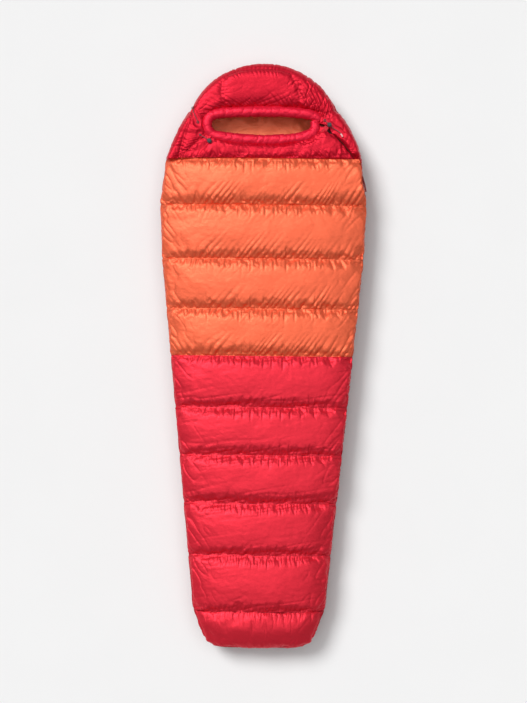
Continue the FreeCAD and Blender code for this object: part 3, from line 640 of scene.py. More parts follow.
def facing_out(grid):
    """Unit normals of a grid of points, on the side that looks up, and whether they were turned."""
    normal = np.cross(np.gradient(grid, axis=0), np.gradient(grid, axis=1))
    normal /= np.maximum(np.linalg.norm(normal, axis=2, keepdims=True), 1e-9)
    turned = normal[..., 2].sum() < 0
    return (-normal if turned else normal), turned


def steps_from(held):
    """How many steps along the grid each point is from a held one."""
    steps = np.where(held, 0.0, 99.0)
    for _ in range(30):
        around = np.pad(steps, 1, constant_values=99)
        sides = around[:-2, 1:-1], around[2:, 1:-1], around[1:-1, :-2], around[1:-1, 2:]
        steps = np.minimum(steps, np.minimum.reduce(sides) + 1)
    return steps


def spread(values, reach=9, times=3):
    """A grid of values averaged over their neighbours in both directions."""
    for _ in range(times):
        for axis in (0, 1):
            values = np.moveaxis(values, axis, 0)
            ends = [values[:1]] * reach, [values[-1:]] * reach
            padded = np.concatenate([*ends[0], values, *ends[1]])
            total = np.cumsum(np.concatenate([np.zeros_like(padded[:1]), padded]), axis=0)
            wide = 2 * reach + 1
            values = np.moveaxis((total[wide:] - total[:-wide]) / wide, 0, axis)
    return values


FRAMES = 14
PRESSURE = 5.0
SPARE_FABRIC = 0.05  # how much wider the cloth is than its grid, as a share
MOST_MOVED = 8.0


def settled(sheets):
    """How far each point of the sheets moves when they are blown up as cloth with fabric to spare.

    The cloth is every second point of a grid. It is held along its seams and edges, so the
    spare fabric gathers into folds beside them. The moves are averaged away from the seams.
    """
    cloths = []
    for grid, held in sheets:
        coarse = grid[::2, ::2]
        _, turned = facing_out(coarse)
        index = np.arange(coarse[..., 0].size).reshape(coarse.shape[:2])
        piece = make_mesh("cloth", coarse.reshape(-1, 3), quads(index, not turned), [])
        group = piece.vertex_groups.new(name="held")
        group.add(np.nonzero(held[::2, ::2].ravel())[0].tolist(), 1.0, "REPLACE")
        cloth = piece.modifiers.new("cloth", "CLOTH")
        settings = cloth.settings
        settings.quality = 4
        settings.mass = 0.25
        settings.tension_stiffness = settings.compression_stiffness = 12
        settings.shear_stiffness = 4
        settings.bending_stiffness = 0.05
        settings.use_pressure = True
        settings.uniform_pressure_force = PRESSURE
        settings.shrink_min = -SPARE_FABRIC
        settings.vertex_group_mass = "held"
        settings.effector_weights.gravity = 0
        cloth.point_cache.frame_start, cloth.point_cache.frame_end = 1, FRAMES
        cloths.append((piece, coarse, held[::2, ::2]))
    for number in range(1, FRAMES + 1):
        scene.frame_set(number)
    graph = bpy.context.evaluated_depsgraph_get()
    moves = []
    for piece, coarse, held in cloths:
        after = np.array([v.co for v in piece.evaluated_get(graph).data.vertices]) / MM
        move = after.reshape(coarse.shape) - coarse
        move /= np.maximum(1, np.linalg.norm(move, axis=2, keepdims=True) / MOST_MOVED)
        by_seam = np.exp(-(((steps_from(held) - 1) / 6.0) ** 2))[..., None]
        calm = np.where(held[..., None], 0, spread(move))
        moves.append(doubled(move * by_seam + calm * (1 - by_seam)))
    for piece, _, _ in cloths:
        bpy.data.objects.remove(piece)
    scene.frame_set(1)
    return moves


def edge_mask(shape):
    """True round the edge of a grid."""
    edge = np.ones(shape, bool)
    edge[1:-1, 1:-1] = False
    return edge


def held_mask(shape):
    """What a sheet is held by: its edge, and the tucks beside its left and right edges."""
    held = edge_mask(shape)
    held[:, :2] = held[:, -2:] = True
    return held


LINING_IN = 12.0  # the least a lining stands in from the outline
LINING_EASES = 20.0  # and how far in it is left where it was


def drawn_in(points):
    """Points with those near the outline moved in, so that a lining stays inside its shell."""

    def squeezed(gap):
        near = np.clip(gap, 0, LINING_EASES)
        eased = LINING_IN + (LINING_EASES - LINING_IN) * near / LINING_EASES
        return np.where(gap < LINING_EASES, eased, gap)

    x, y = points[:, 0].copy(), points[:, 1].copy()
    radius = np.maximum(np.hypot(x, y - CROWN_Y), 1)
    share = (CROWN_R - squeezed(CROWN_R - radius)) / radius
    half = half_at(np.minimum(y, HOOD_TURN))
    straight_x = np.sign(x) * (half - squeezed(half - np.abs(x)))
    round_y, straight_y = CROWN_Y + (y - CROWN_Y) * share, END_Y + squeezed(y - END_Y)
    points[:, 0] = np.where(y > HOOD_TURN, x * share, straight_x)
    points[:, 1] = np.where(y > HOOD_TURN, round_y, straight_y)
    return points


UNDER_Z = SPACE_TOP - 1  # the height of the linings under the padded pieces


def padded_skin(name, sheet, moved, materials, slots=None):
    """A closed padded piece: its crumpled outer face, and the lining's face under it."""
    grid, held, creases, seam, stitch = sheet
    normal, turned = facing_out(grid)
    top = grid + moved + normal * np.where(held, 0, creases)[..., None]
    index = np.arange(held.size).reshape(held.shape)
    edge = edge_mask(held.shape)
    low = top[~edge].copy()
    low[:, 2] = UNDER_Z + 2.5 * noise2(low[:, 0] / 24, low[:, 1] / 24, 71)
    low = drawn_in(low)
    below = index.copy()
    below[~edge] = held.size + np.arange(len(low))
    faces = np.vstack([quads(index, not turned), quads(below, turned)])
    per_side = len(faces) // 2
    outer = np.zeros(per_side, int) if slots is None else slots.ravel()
    all_slots = np.concatenate([outer, np.full(per_side, len(materials))])
    spare = np.zeros(len(low))
    attributes = {
        "seam": np.concatenate([seam.ravel(), spare]),
        "stitch": np.concatenate([stitch.ravel(), spare]),
    }
    points = np.vstack([top.reshape(-1, 3), low])
    piece = make_mesh(name, points, faces, [*materials, lining], all_slots, attributes)
    ends = np.zeros(2 * len(piece.data.edges), np.int32)
    piece.data.edges.foreach_get("vertices", ends)
    at_edge = np.concatenate([edge.ravel(), np.zeros(len(low), bool)])
    sharp = piece.data.attributes.new("sharp_edge", "BOOLEAN", "EDGE")
    sharp.data.foreach_set("value", at_edge[ends].reshape(-1, 2).all(axis=1))
    return piece


def distance_to(points, line):
    """The distance in plan from each point to a polyline, and how far along it the nearest is."""
    best = np.full(points.shape[:-1], 1e9)
    where = np.zeros(points.shape[:-1])
    at = lengths(line)
    for k in range(len(line) - 1):
        a, b = line[k], line[k + 1]
        d = b - a
        t = np.clip(((points[..., :2] - a) @ d) / (d @ d), 0, 1)
        gap = np.linalg.norm(points[..., :2] - a - t[..., None] * d, axis=-1)
        closer = gap < best
        best = np.where(closer, gap, best)
        where = np.where(closer, at[k] + t * (at[k + 1] - at[k]), where)
    return best, where


# ---- quilted top

GRID = 3.2  # between rows
COLS = 273
ZIP_LOW_Y = -505  # the zip's foot end
LEFT_Z = 100.0
ZIP_EDGE_Z = 118.0
FOOT_FALL = 136  # the foot rounds down over this length
DIP = 0.73  # a seam's height, as a share of a full chamber's
PULLED_IN = 4.0  # how far a seam draws the outline in
PROUD = 3.5  # how far a chamber bulges past the CAD's outline
GATHERS = {1: (7.0, 46), -1: (3.2, 28)}  # depth and reach above a seam and below it
TUCK = 9.0


def right_edge_z(y):
    """The top layer's edge is higher beside the zip than below it."""
    return LEFT_Z + (ZIP_EDGE_Z - LEFT_Z) * smooth(y, ZIP_LOW_Y - 25, ZIP_LOW_Y + 15)


def quilt_height(y):
    return SPACE_TOP + (BAG_TOP + 2 - SPACE_TOP) * (DIP + (1 - DIP) * puffed(y))


def seam_gap_of(y, seams):
    """The distance to the nearest seam across the bag, which seam, and the side it lies on."""
    gaps = np.abs(np.asarray(y)[..., None] - np.array(seams))
    nearest = gaps.argmin(-1)
    return gaps.min(-1), nearest, np.sign(np.asarray(y) - np.array(seams)[nearest])


def chamber_creases(grid, seams):
    """Gathers along the seams and soft creases in the chambers."""
    x, y = grid[..., 0], grid[..., 1]
    away, which, side = seam_gap_of(y, seams)
    half = half_at(y)
    leg = smooth(-y, -30, 30)
    from_left = (x + half) / 170
    tilt = -0.75 + 1.55 * smooth(from_left, 0, 1.3) - 0.25 * smooth((x - 150) / 200, 0, 1)
    added = np.zeros(x.shape)
    for k in range(len(seams)):
        for sign in (-1, 1):
            chosen = (which == k) & (side == sign)
            seed = 11 + round(abs(seams[k])) + sign
            full_depth, full_reach = GATHERS[sign]
            depth = full_depth * (1 - 0.62 * leg[chosen])
            reach = full_reach * (1 - 0.45 * leg[chosen])
            place, lean = (x[chosen], away[chosen]), side[chosen] * tilt[chosen]
            added[chosen] += pleats(*place, seed, 23, reach, depth, lean)
            small_lean = 0.3 * side[chosen] * tilt[chosen]
            added[chosen] += pleats(*place, seed + 90, 10, 10, 1.1, small_lean)
    near = np.exp(-away / 30)
    slanted = creased((x + 0.9 * y) / 75, (x - 0.9 * y) / 30, 41) * near * (1 - leg)
    edge = np.clip((np.abs(x) - half + 120) / 120, 0, 1)
    swung = np.where(x < 0, -1.0, 1.0)
    from_edge = creased((x + swung * 0.8 * y) / 80, (x - swung * 0.8 * y) / 26, 47) * edge
    rising = y - 0.17 * x
    above = np.where(side > 0, 1.0, 0.5)
    level = creased(x / 150, rising / 16, 43, 0.2) * np.exp(-away / 30) * leg * above
    level += 0.5 * creased(x / 90, rising / 11, 45) * np.exp(-away / 20) * leg
    ribs = creased(x / 70, y / 9.5, 49) * smooth(x - half, -75, -20) * leg
    added += 3.4 * slanted + 3.0 * from_edge + 6.2 * level + 1.8 * ribs
    added += 1.3 * noise2(x / 60, y / 45, 35) + 0.35 * noise2((x + y) / 17, (x - y) / 21, 36)
    return added


def rows_between(edges, spacing):
    """Rows a spacing apart, with a row on every seam and an even number of steps between seams."""
    rows = [edges[0]]
    for a, b in zip(edges, edges[1:]):
        count = 2 * max(1, round(abs(b - a) / spacing / 2))
        rows += list(np.linspace(a, b, count + 1)[1:])
    return np.array(rows)


def quilt_points(rows, right, z_right, height, tuck):
    """A grid over the chambers. What differs between its rows is given as functions of y."""
    grid = np.zeros((len(rows), COLS, 3))
    for k, y in enumerate(rows):
        ends = quilt_left(y), right(y), LEFT_Z, z_right(y)
        line = section(*ends, height(y), COLS, tuck_right=tuck(y))
        grid[k] = np.column_stack([line[:, 0], np.full(COLS, y), line[:, 1]])
    return grid


def quilt_left(y):
    """Seams draw the outline in, so that each chamber bulges at the side."""
    return -half_at(y) - PROUD + PULLED_IN * (1 - puffed(y))


def quilt_right(y):
    return -quilt_left(y)


def quilt_sheet(grid, seams):
    """A quilted grid with what holds it, its creases, its seams and the length along them."""
    away, _, _ = seam_gap_of(grid[..., 1], seams)
    held = held_mask(away.shape) | (away < 0.5)
    seam = np.clip(1 - away / 6, 0, 1)
    return grid, held, chamber_creases(grid, seams), seam, grid[..., 0] * MM + 1


def foot_height(y):
    """The last chamber rounds down to the foot."""
    fall = np.clip((END_Y + FOOT_FALL - y) / FOOT_FALL, 0, 1)
    full = quilt_height(y)
    return LEFT_Z + 3 + (full - LEFT_Z - 3) * np.sqrt(1 - fall**1.3)


def quilt_top():
    """All the chambers below the chest."""
    turn = np.linspace(0, math.pi / 2, 31)[1:]
    rows = rows_between(SEAM_Y[1:] + [END_Y + FOOT_FALL], GRID)
    rows = np.concatenate([rows, END_Y + FOOT_FALL * (1 - np.sin(turn))])
    grid = quilt_points(rows, quilt_right, right_edge_z, foot_height, lambda y: TUCK)
    return quilt_sheet(grid, SEAM_Y[1:])


# ---- chest and neck over the fold

LAP_Z = 143.0  # the height of the edges that lap over the zip
UNDER_LAP_Z = 127.0  # and of the edge below the neck
HEM = 7


def zip_x(y):
    return ZIP_CENTRE[0] + math.sqrt(ZIP_R**2 - min(y - CHEST_Y, ZIP_R) ** 2)


def chest_right(y):
    """The chest laps over the zip, almost to the outline."""
    return quilt_right(y) - 6 * smooth(y, CHEST_Y + 20, CHEST_Y + 90)


def chest_tuck(y):
    share = smooth(y, CHEST_Y, CHEST_Y + 50)
    return TUCK * (1 - share) + (chest_right(y) - zip_x(y) + HEM) * share


def chest_edge_z(y):
    return ZIP_EDGE_Z + (LAP_Z - ZIP_EDGE_Z) * smooth(y, CHEST_Y, CHEST_Y + 60)


def chest_skin():
    rows = rows_between([NECK_Y, CHEST_Y], GRID * 0.92)
    grid = quilt_points(rows, chest_right, chest_edge_z, quilt_height, chest_tuck)
    return quilt_sheet(grid, [NECK_Y, CHEST_Y])


SIDE_Z = 143  # the height of the seam between the neck's left end and the hood
NECK_LEFT = np.array([-313.0, NECK_Y])
CHIN_LEFT = np.array([-209.0, 814.0])
TIP = 55.5  # where the neck ends on the zip's curve, in degrees
ZIP_SIDE_R = ZIP_R + 0.8
PULL_ROOM = 6.0  # how far the neck's edge stands back where the upper pull swings up


def chin_edge():
    """The neck's upper edge, along the chin rim from its left end to the corner's tip."""
    under_rim = CHIN_R + RIM_R * 0.55 + 7
    rim_line = arc_points(CHIN_CENTRE, under_rim, 250.5, 286.5, 60)
    tip = arc_points(ZIP_CENTRE, ZIP_SIDE_R - PULL_ROOM, TIP, TIP, 1)
    beside_rim = [(195, 829), (205, 846), (222, 845)]
    return np.vstack([[NECK_LEFT + (6, 6)], [CHIN_LEFT], rim_line, beside_rim, tip])


def neck_skin():
    """The panel between the chin rim and the neck seam, lapping the zip at its right end."""
    rows, cols = 41, COLS - 1
    seam_right = zip_x(NECK_Y)
    bottom = np.stack([np.linspace(NECK_LEFT[0], seam_right, cols), np.full(cols, NECK_Y)], 1)
    top = resampled(chin_edge(), cols)
    start = math.degrees(math.asin((NECK_Y - CHEST_Y) / ZIP_R))
    right = arc_points(ZIP_CENTRE, ZIP_SIDE_R, start, TIP, rows)
    pull_side = smooth(np.linspace(start, TIP, rows), 47.5, 51)[:, None]
    right -= (right - ZIP_CENTRE) * pull_side * PULL_ROOM / ZIP_SIDE_R
    left = resampled(np.array([NECK_LEFT, NECK_LEFT + (6, 6)]), rows)
    s = np.linspace(0, 1, cols)[None, :, None]
    v = np.linspace(0, 1, rows)[:, None, None]
    flat = (1 - v) * bottom[None] + v * top[None] + (1 - s) * left[:, None] + s * right[:, None]
    corners = (1 - s) * bottom[0] + s * bottom[-1], (1 - s) * top[0] + s * top[-1]
    flat -= (1 - v) * corners[0] + v * corners[1]
    t = v[..., 0] * np.ones((1, cols))
    rim_side = RIM_Z + 1 + (SIDE_Z - RIM_Z - 1) * smooth(-top[:, 0], 190, 214)
    base = quilt_height(np.array([NECK_Y]))[0] * (1 - t) + rim_side[None] * t
    width = np.linalg.norm(top - bottom, axis=1)[None]
    puff = (1 - np.abs(2 * t - 1) ** 2.2) ** 0.6
    height = base + np.minimum(HOOD_TOP + 7 - base, 0.42 * width) * puff
    height -= 5 * puff * smooth(-flat[..., 0], 190, 240)
    inside = np.clip((ZIP_R - np.linalg.norm(flat - ZIP_CENTRE, axis=2)) / 45, 0, 1)
    height = LAP_Z + (height - LAP_Z) * np.sqrt(1 - (1 - inside) ** 3)
    grid = np.concatenate([flat, height[..., None]], axis=2)
    hem = ZIP_CENTRE + (right - ZIP_CENTRE) * (ZIP_R - HEM) / ZIP_SIDE_R
    hem = np.column_stack([hem, np.full(rows, LAP_Z - 4)])
    grid = np.concatenate([grid, hem[:, None]], axis=1)
    held = edge_mask(grid.shape[:2])
    held[:, -2:] = True
    share = np.linspace(0, 1, rows)[:, None]
    width = np.append(width, width[:, -1:], axis=1)
    down, up = share * width, (1 - share) * width
    x, y = grid[..., 0], grid[..., 1]
    lean = 0.9 * smooth(x, -40, 160) - 0.5 * smooth(-x, 60, 200)
    heavy = 1 + 0.5 * smooth(x, 20, 130)
    creases = pleats(x, down, 61, 20, 26, 3.0, -lean) * heavy
    creases += pleats(x, up, 63, 17, 18, 3.2, lean) * heavy
    creases += 1.1 * creased(x / 40, y / 18, 64) + 0.8 * noise2(x / 30, y / 22, 65)
    seam = np.clip(1 - np.minimum(down, up) / 6, 0, 1)
    return grid, held, creases, seam, x * MM + 1


# ---- hood


def perimeter(count):
    """The bag's outline in plan, anticlockwise from the middle of the foot."""
    ys = np.arange(END_Y, HOOD_TURN, 4.0)
    right = np.stack([half_at(ys), ys], 1)
    start = math.degrees(math.asin((HOOD_TURN - CROWN_Y) / CROWN_R))
    crown = arc_points((0, CROWN_Y), CROWN_R, start, 90, 80)
    half_way = np.vstack([[[0, END_Y]], right, crown])
    full = np.vstack([half_way, (half_way * (-1, 1))[::-1][1:]])
    return resampled(full, count)


# Pairs of a point on the hood's inner edge and the point of the outline across from it.
HOOD_KEYS = [
    ((368, 640), (372, 640)),
    ((330, 728), (359, 727)),
    ((278, 795), (331, 800)),
    ((226, 842), (300, 866)),
    ((205, 868), (266, 914)),
    ((186, 889), (226, 970)),
    ((100, 910), (139, 1040)),
    ((0, 918), (0, 1075)),
    ((-100, 910), (-139, 1040)),
    ((-186, 889), (-226, 970)),
    ((-226, 866), (-266, 914)),
    ((-230, 842), (-302, 862)),
    ((-209, 814), (-322, 824)),
    ((-258, 768), (-342, 780)),
    ((-313, 727), (-359, 727)),
    ((-316, 720), (-361, 719)),
]
CROWN_SEAM = np.array(
    [(-146, 912), (-156, 960), (-151, 1003), (-128, 1030), (-92, 1043), (-20, 1050),
     (55, 1047), (90, 1035), (118, 985), (128, 940), (122, 912)],
    float,
)
CHEEK_SEAM = np.array([(-262, 916), (-272, 880), (-290, 820), (-313, 730)], float)
CHEEK_RIGHT_SEAM = np.array([(212, 880), (250, 900), (275, 918)], float)


def hood_inner():
    zip_side = arc_points(ZIP_CENTRE, ZIP_SIDE_R, 14, 52, 60)
    brow = [(202, 884), (186, 902), (100, 911), (0, 913), (-100, 909), (-184, 902), (-209, 884)]
    clear = arc_points(ZIP_CENTRE, ZIP_R + 9, 55, 57.5, 6)
    right = [(215, 852), (201, 857), (199, 870)]
    left = np.array([(-221, 868), (-225, 846), CHIN_LEFT, NECK_LEFT, (-316, 720)])
    return np.vstack([zip_side, clear, right, rounded(brow, 4), left])


def nearest_length(line, point):
    at = lengths(line)
    return at[np.linalg.norm(line - np.array(point), axis=1).argmin()]


def hood_skin():
    """The hood's outer face, from the rims and the zip out to the bag's outline."""
    ring = perimeter(1200)
    inner = resampled(hood_inner(), 1200)
    outer_at = [nearest_length(ring, key[1]) for key in HOOD_KEYS]
    inner_at = [nearest_length(inner, key[0]) for key in HOOD_KEYS]
    cols, rows = 701, 65
    wanted = np.linspace(outer_at[0], outer_at[-1], cols)
    matched = np.interp(wanted, outer_at, inner_at)
    kernel = np.hanning(35) / np.hanning(35).sum()
    matched = np.convolve(np.pad(matched, 17, mode="edge"), kernel, mode="valid")
    at_ring, at_inner = lengths(ring), lengths(inner)
    outer = np.stack([np.interp(wanted, at_ring, ring[:, k]) for k in (0, 1)], 1)
    inside = np.stack([np.interp(matched, at_inner, inner[:, k]) for k in (0, 1)], 1)
    grid = np.zeros((cols, rows, 3))
    share = np.linspace(0, 1, cols)
    right_half = share < 0.5
    over_neck = np.where(right_half, smooth(inside[:, 1], NECK_Y - 4, NECK_Y + 22), 1)
    beside_zip = 1 - smooth(share, 0.22, 0.26)
    lap = UNDER_LAP_Z + (LAP_Z - UNDER_LAP_Z) * over_neck
    z_in = (RIM_Z - 2) * (1 - beside_zip) + lap * beside_zip
    joined_side = smooth(-inside[:, 0], 195, 214) * (1 - smooth(inside[:, 1], 808, 826))
    z_in += (SIDE_Z - z_in) * joined_side
    for k in range(cols):
        span = outer[k] - inside[k]
        width = max(np.linalg.norm(span), 4.0)
        middle = (z_in[k] + LEFT_Z) / 2
        highest = HOOD_TOP + 4 - 5 * joined_side[k] - middle
        top = middle + min(highest, (0.3 + 0.5 * over_neck[k]) * width)
        tucks = 5.0 - 4 * joined_side[k], TUCK
        line = section(0, width, z_in[k], LEFT_Z, top, rows, 3.4, *tucks)
        direction = span / max(np.linalg.norm(span), 1e-6)
        grid[k, :, :2] = inside[k] + direction * line[:, :1]
        grid[k, :, 2] = line[:, 1]
        grid[k, 0, 2] += 5 * joined_side[k]
    x, y = grid[..., 0], grid[..., 1]
    grid[..., 2] -= np.where(x < 0, 2.0 * np.clip(NECK_Y - 1 - y, 0, 8), 0)
    along = lengths(inside)[:, None] * np.ones((1, rows))
    across = np.linalg.norm(grid[..., :2] - inside[:, None], axis=2)
    out = lengths(outer)[:, None] * np.ones((1, rows))
    from_edge = np.linalg.norm(grid[..., :2] - outer[:, None], axis=2)
    held = held_mask(across.shape)
    brow = smooth(y, 850, 900)
    right_side = smooth(x, 50, 150)
    reach = 32 + 26 * right_side
    creases = pleats(along, across, 81, 19, reach, 5.0 + 2 * right_side, 0.9) * (0.45 + 0.55 * brow)
    low = creased((x + 0.55 * y) / 62, (y - 0.45 * x) / 17, 83) * np.exp(-across / 38)
    steep = creased((x - 0.4 * y) / 19, (y + 0.5 * x) / 55, 84) * right_side
    creases += 4.2 * low * brow + 3.4 * steep * brow
    creases += pleats(out, from_edge, 85, 24, 18, 3.0, 0.2)
    creases += 1.0 * noise2(x / 40, y / 34, 86) + 1.6 * creased(x / 34, y / 30, 88) * (1 - brow)
    seam = np.zeros(x.shape)
    stitch = along * MM + 1
    for line, depth, wide in ((CROWN_SEAM, 4, 10), (CHEEK_SEAM, 6, 8), (CHEEK_RIGHT_SEAM, 4, 8)):
        gap, where = distance_to(grid, line)
        creases -= depth * np.exp(-((gap / wide) ** 1.5))
        creases += pleats(where, gap, 87, 15, 18, 3.0, 0.3)
        seam = np.maximum(seam, np.clip(1 - gap / 6, 0, 1))
        stitch = np.where(gap < 9, where * MM + 1, stitch)
    return grid, held, creases * smooth(grid[..., 2], LEFT_Z, LEFT_Z + 12), seam, stitch


def levelled(piece, lines, height, outer):
    """Levels a piece's outer face where cords and their fittings are sewn to it or lie on it.

    Under a line the fabric is no higher than the given height. Fabric already near that height,
    which leaves out the walls, is raised to just below it. Both ease off beside the line.
    """
    count = len(piece.data.vertices)
    points = np.zeros(3 * count, np.float32)
    piece.data.vertices.foreach_get("co", points)
    points = points.reshape(-1, 3)
    for line in lines:
        gap, _ = distance_to(points / MM, np.array(line, float)[:, :2])
        limit = (height - 0.5 + 14 * smooth(gap, 9, 36)) * MM
        points[:, 2] = np.minimum(points[:, 2], limit)
        raised = (height - 1.5 - 34 * smooth(gap, 6, 26)) * MM
        near_top = smooth(points[:, 2], (height - 34) * MM, (height - 16) * MM)
        lift = np.maximum(raised - points[:, 2], 0) * near_top
        points[:outer, 2] += lift[:outer]
    piece.data.vertices.foreach_set("co", points.ravel())
    piece.data.update()


# ---- face opening

BROW_PATH = [
    (-176, 806), (-201, 820), (-213, 848), (-204, 878), (-175, 891), (-100, 897),
    (0, 900), (100, 899), (178, 891), (206, 869),
]
CHIN_PATH = [
    (-206, 822), (-180, 808), (-100, 798), (0, 793), (100, 799), (165, 813),
    (185, 829), (188, 850), (182, 869),
]


RIM_FULL = 1.12  # the fabric's fullness, over the CAD rim's radius


RIM_GATHER, RIM_TWIST, RIM_CREASE = 0.16, 0.07, 0.10  # shares of its radius


def rim(name, path, seed):
    """A padded rim, gathered by the cord in its tunnel and thinner towards its ends."""
    cols, around = 260, 28
    line = resampled(rounded(path), cols)
    at = lengths(line)
    outward = beside(tangents(line))
    t = np.linspace(0, 1, cols)
    taper = (0.6 + 0.4 * np.sqrt(np.clip(1 - np.abs(2 * t - 1) ** 9, 0, 1))) * RIM_R * RIM_FULL
    strength = 0.5 + 0.5 * noise2(at / 26, 0.2, seed + 1)
    points = np.zeros((cols, around, 3))
    for k, angle in enumerate(turns(around)):
        phase = at / 31 + 1.3 * noise2(at / 47, 0.5, seed)
        phase += 0.5 * noise2(at / 60, angle * 0.8, seed + 4)
        gather = np.abs(np.sin(np.pi * phase)) ** 0.5 - 0.75
        twist = noise2(at / 34, angle * 1.1, seed + 2)
        fine = creased(at / 21, angle * 1.2 + at / 26, seed + 3, 0.12)
        size = taper * (1 + RIM_GATHER * gather * strength + RIM_TWIST * twist + RIM_CREASE * fine)
        points[:, k, :2] = line + outward * (size * math.cos(angle))[:, None]
        points[:, k, 2] = RIM_Z - 1 + 0.85 * size * math.sin(angle)
    return smoother(tube(name, points, rim_shell, sewn=True))


# ---- the back, its walls and the lining

# (distance in from the outline, height) from the inner edge of the walls, over and under
BACK_PROFILE = [
    (64, 102.5), (34, 102), (12, 100), (4, 97), (0.5, 90), (-2.5, 80), (-2, 70), (1, 61), (4, 55),
    (1.5, 49), (-1, 40), (0, 28), (6, 15), (18, 5), (36, 0.6), (62, 0.0), (95, 0.0),
]
INNER_PROFILE = [(68, 93), (70, 80), (73, 68), (84, 60), (104, 57), (130, 57)]
BACK_SEAM_Z = 55  # the seam that runs round the wall
# the wall's seams round the crown, in degrees
CROWN_FIRST_SEAM, CROWN_PANEL = 27.25, 20.9


def back_pad():
    """The back layer and the side walls as one padded tray, with the lining inside it."""
    count = 520
    ring = perimeter(count + 1)[:-1]
    inward = beside(unit(np.roll(ring, -1, 0) - np.roll(ring, 1, 0)))
    for _ in range(30):
        inward = (np.roll(inward, 1, 0) + inward * 2 + np.roll(inward, -1, 0)) / 4
    inward = unit(inward)
    at = np.arange(count) * np.linalg.norm(ring[1] - ring[0])
    side = np.abs(ring[:, 0]) > 120
    seam_away, _, _ = seam_gap_of(ring[:, 1], SEAM_Y + HOOD_SEAMS)
    hood_angle = np.degrees(np.arctan2(ring[:, 1] - CROWN_Y, ring[:, 0]))
    in_crown = ring[:, 1] > CROWN_START
    panels = (hood_angle - CROWN_FIRST_SEAM) / CROWN_PANEL
    hood_gap = np.abs(panels - np.round(panels)) * CROWN_PANEL
    seam_away = np.where(in_crown, np.radians(hood_gap) * CROWN_R, seam_away)
    seam_away = np.where(side | in_crown, seam_away, 60)
    puff = 1 - np.exp(-seam_away / 18)
    beside_zip = (ring[:, 0] > 0) & (ring[:, 1] > ZIP_LOW_Y) & (ring[:, 1] < CHEST_Y + 90)
    spine = np.stack([np.zeros(count), np.clip(ring[:, 1], -900, 860)], 1)

    def layers(profile, seed, outer):
        made = []
        for inset, height in profile:
            if outer:
                seam_gap = np.full(count, abs(height - BACK_SEAM_Z) + 3.0)
                gather = pleats(at, seam_gap, seed, 17, 16, 3.2)
                drawn = 5.0 * (1 - puff) * (1 - abs(height - 50) / 60) if height > 2 else 0
                z = height - (8.0 * beside_zip * smooth(height, 84, 97))
                inset_now = inset + drawn - gather * (2 < height < 98)
            else:
                z = height + 2.5 * noise2(at / 23, height / 12, seed + 3)
                inset_now = inset + 2 * noise2(at / 20, height / 14, seed + 4)
            plan = ring + inward * np.reshape(inset_now, (-1, 1))
            made.append(np.column_stack([plan, np.zeros(count) + z]))
        return made

    outer = layers(BACK_PROFILE, 101, True)
    inner = layers(INNER_PROFILE, 111, False)
    last_out, last_in = outer[-1][:, :2], inner[-1][:, :2]
    for share in (0.25, 0.5, 0.75, 1.0):
        flat = last_out * (1 - share) + spine * share
        outer.append(np.column_stack([flat, np.zeros(count)]))
    for share in np.linspace(0, 1, 13)[1:]:
        flat = last_in * (1 - share) + spine * share
        x, y = flat[:, 0], flat[:, 1]
        ridges = 5 * noise2(x / 42, y / 34, 121) + 2.6 * noise2(x / 17, y / 26, 122)
        ridges += smooth(y, 740, 800) * (6 + 5 * creased(x / 23, y / 90, 123, 0.2))
        away, _, _ = seam_gap_of(y, SEAM_Y + HOOD_SEAMS)
        z = 57 + ridges + 4 * (1 - np.exp(-away / 14))
        inner.append(np.column_stack([flat, z]))
    stack = inner[::-1] + outer
    rows = len(stack)
    points = np.vstack(stack)
    lining_rows = len(inner)
    slots = (np.arange(rows - 1) < lining_rows).astype(int).repeat(count)
    seam = np.zeros((rows, count))
    heights = points[:, 2].reshape(rows, count)[lining_rows:]
    level_seam = np.clip(1 - np.abs(heights - BACK_SEAM_Z) / 5, 0, 1)
    seam[lining_rows:] = np.maximum(np.clip(1 - seam_away / 7, 0, 1)[None], level_seam)
    attributes = {"seam": seam.ravel(), "stitch": np.tile(at * MM + 1, rows)}
    faces = quads(closed_rings(rows, count))
    piece = make_mesh("back_pad", points, faces, [shaded_back_shell, lining], slots, attributes)
    work = bmesh.new()
    work.from_mesh(piece.data)
    bmesh.ops.remove_doubles(work, verts=work.verts, dist=0.0004)
    work.to_mesh(piece.data)
    work.free()
    return smoother(piece)


def roll(name, line, wide, high, seed, material, gather=0.12, period=15):
    """A soft filled roll along a line of points, gathered, with rounded ends."""
    cols, around = max(24, int(lengths(line)[-1] / 6)), 18
    line = resampled(line, cols)
    at = lengths(line)
    across = unit(np.column_stack([beside(tangents(line)), np.zeros(cols)]))
    t = np.linspace(0, 1, cols)
    taper = np.sqrt(np.clip(1 - np.abs(2 * t - 1) ** 14, 0.02, 1))
    fold = np.abs(np.sin(np.pi * (at / period + noise2(at / 40, 0.1, seed)))) ** 0.8 - 0.5
    points = np.zeros((cols, around, 3))
    size = taper * (1 + gather * fold)
    for k, angle in enumerate(turns(around)):
        points[:, k] = line + across * (size * wide / 2 * math.cos(angle))[:, None]
        points[:, k, 2] += size * high / 2 * math.sin(angle)
    return smoother(tube(name, points, material, sewn=True))


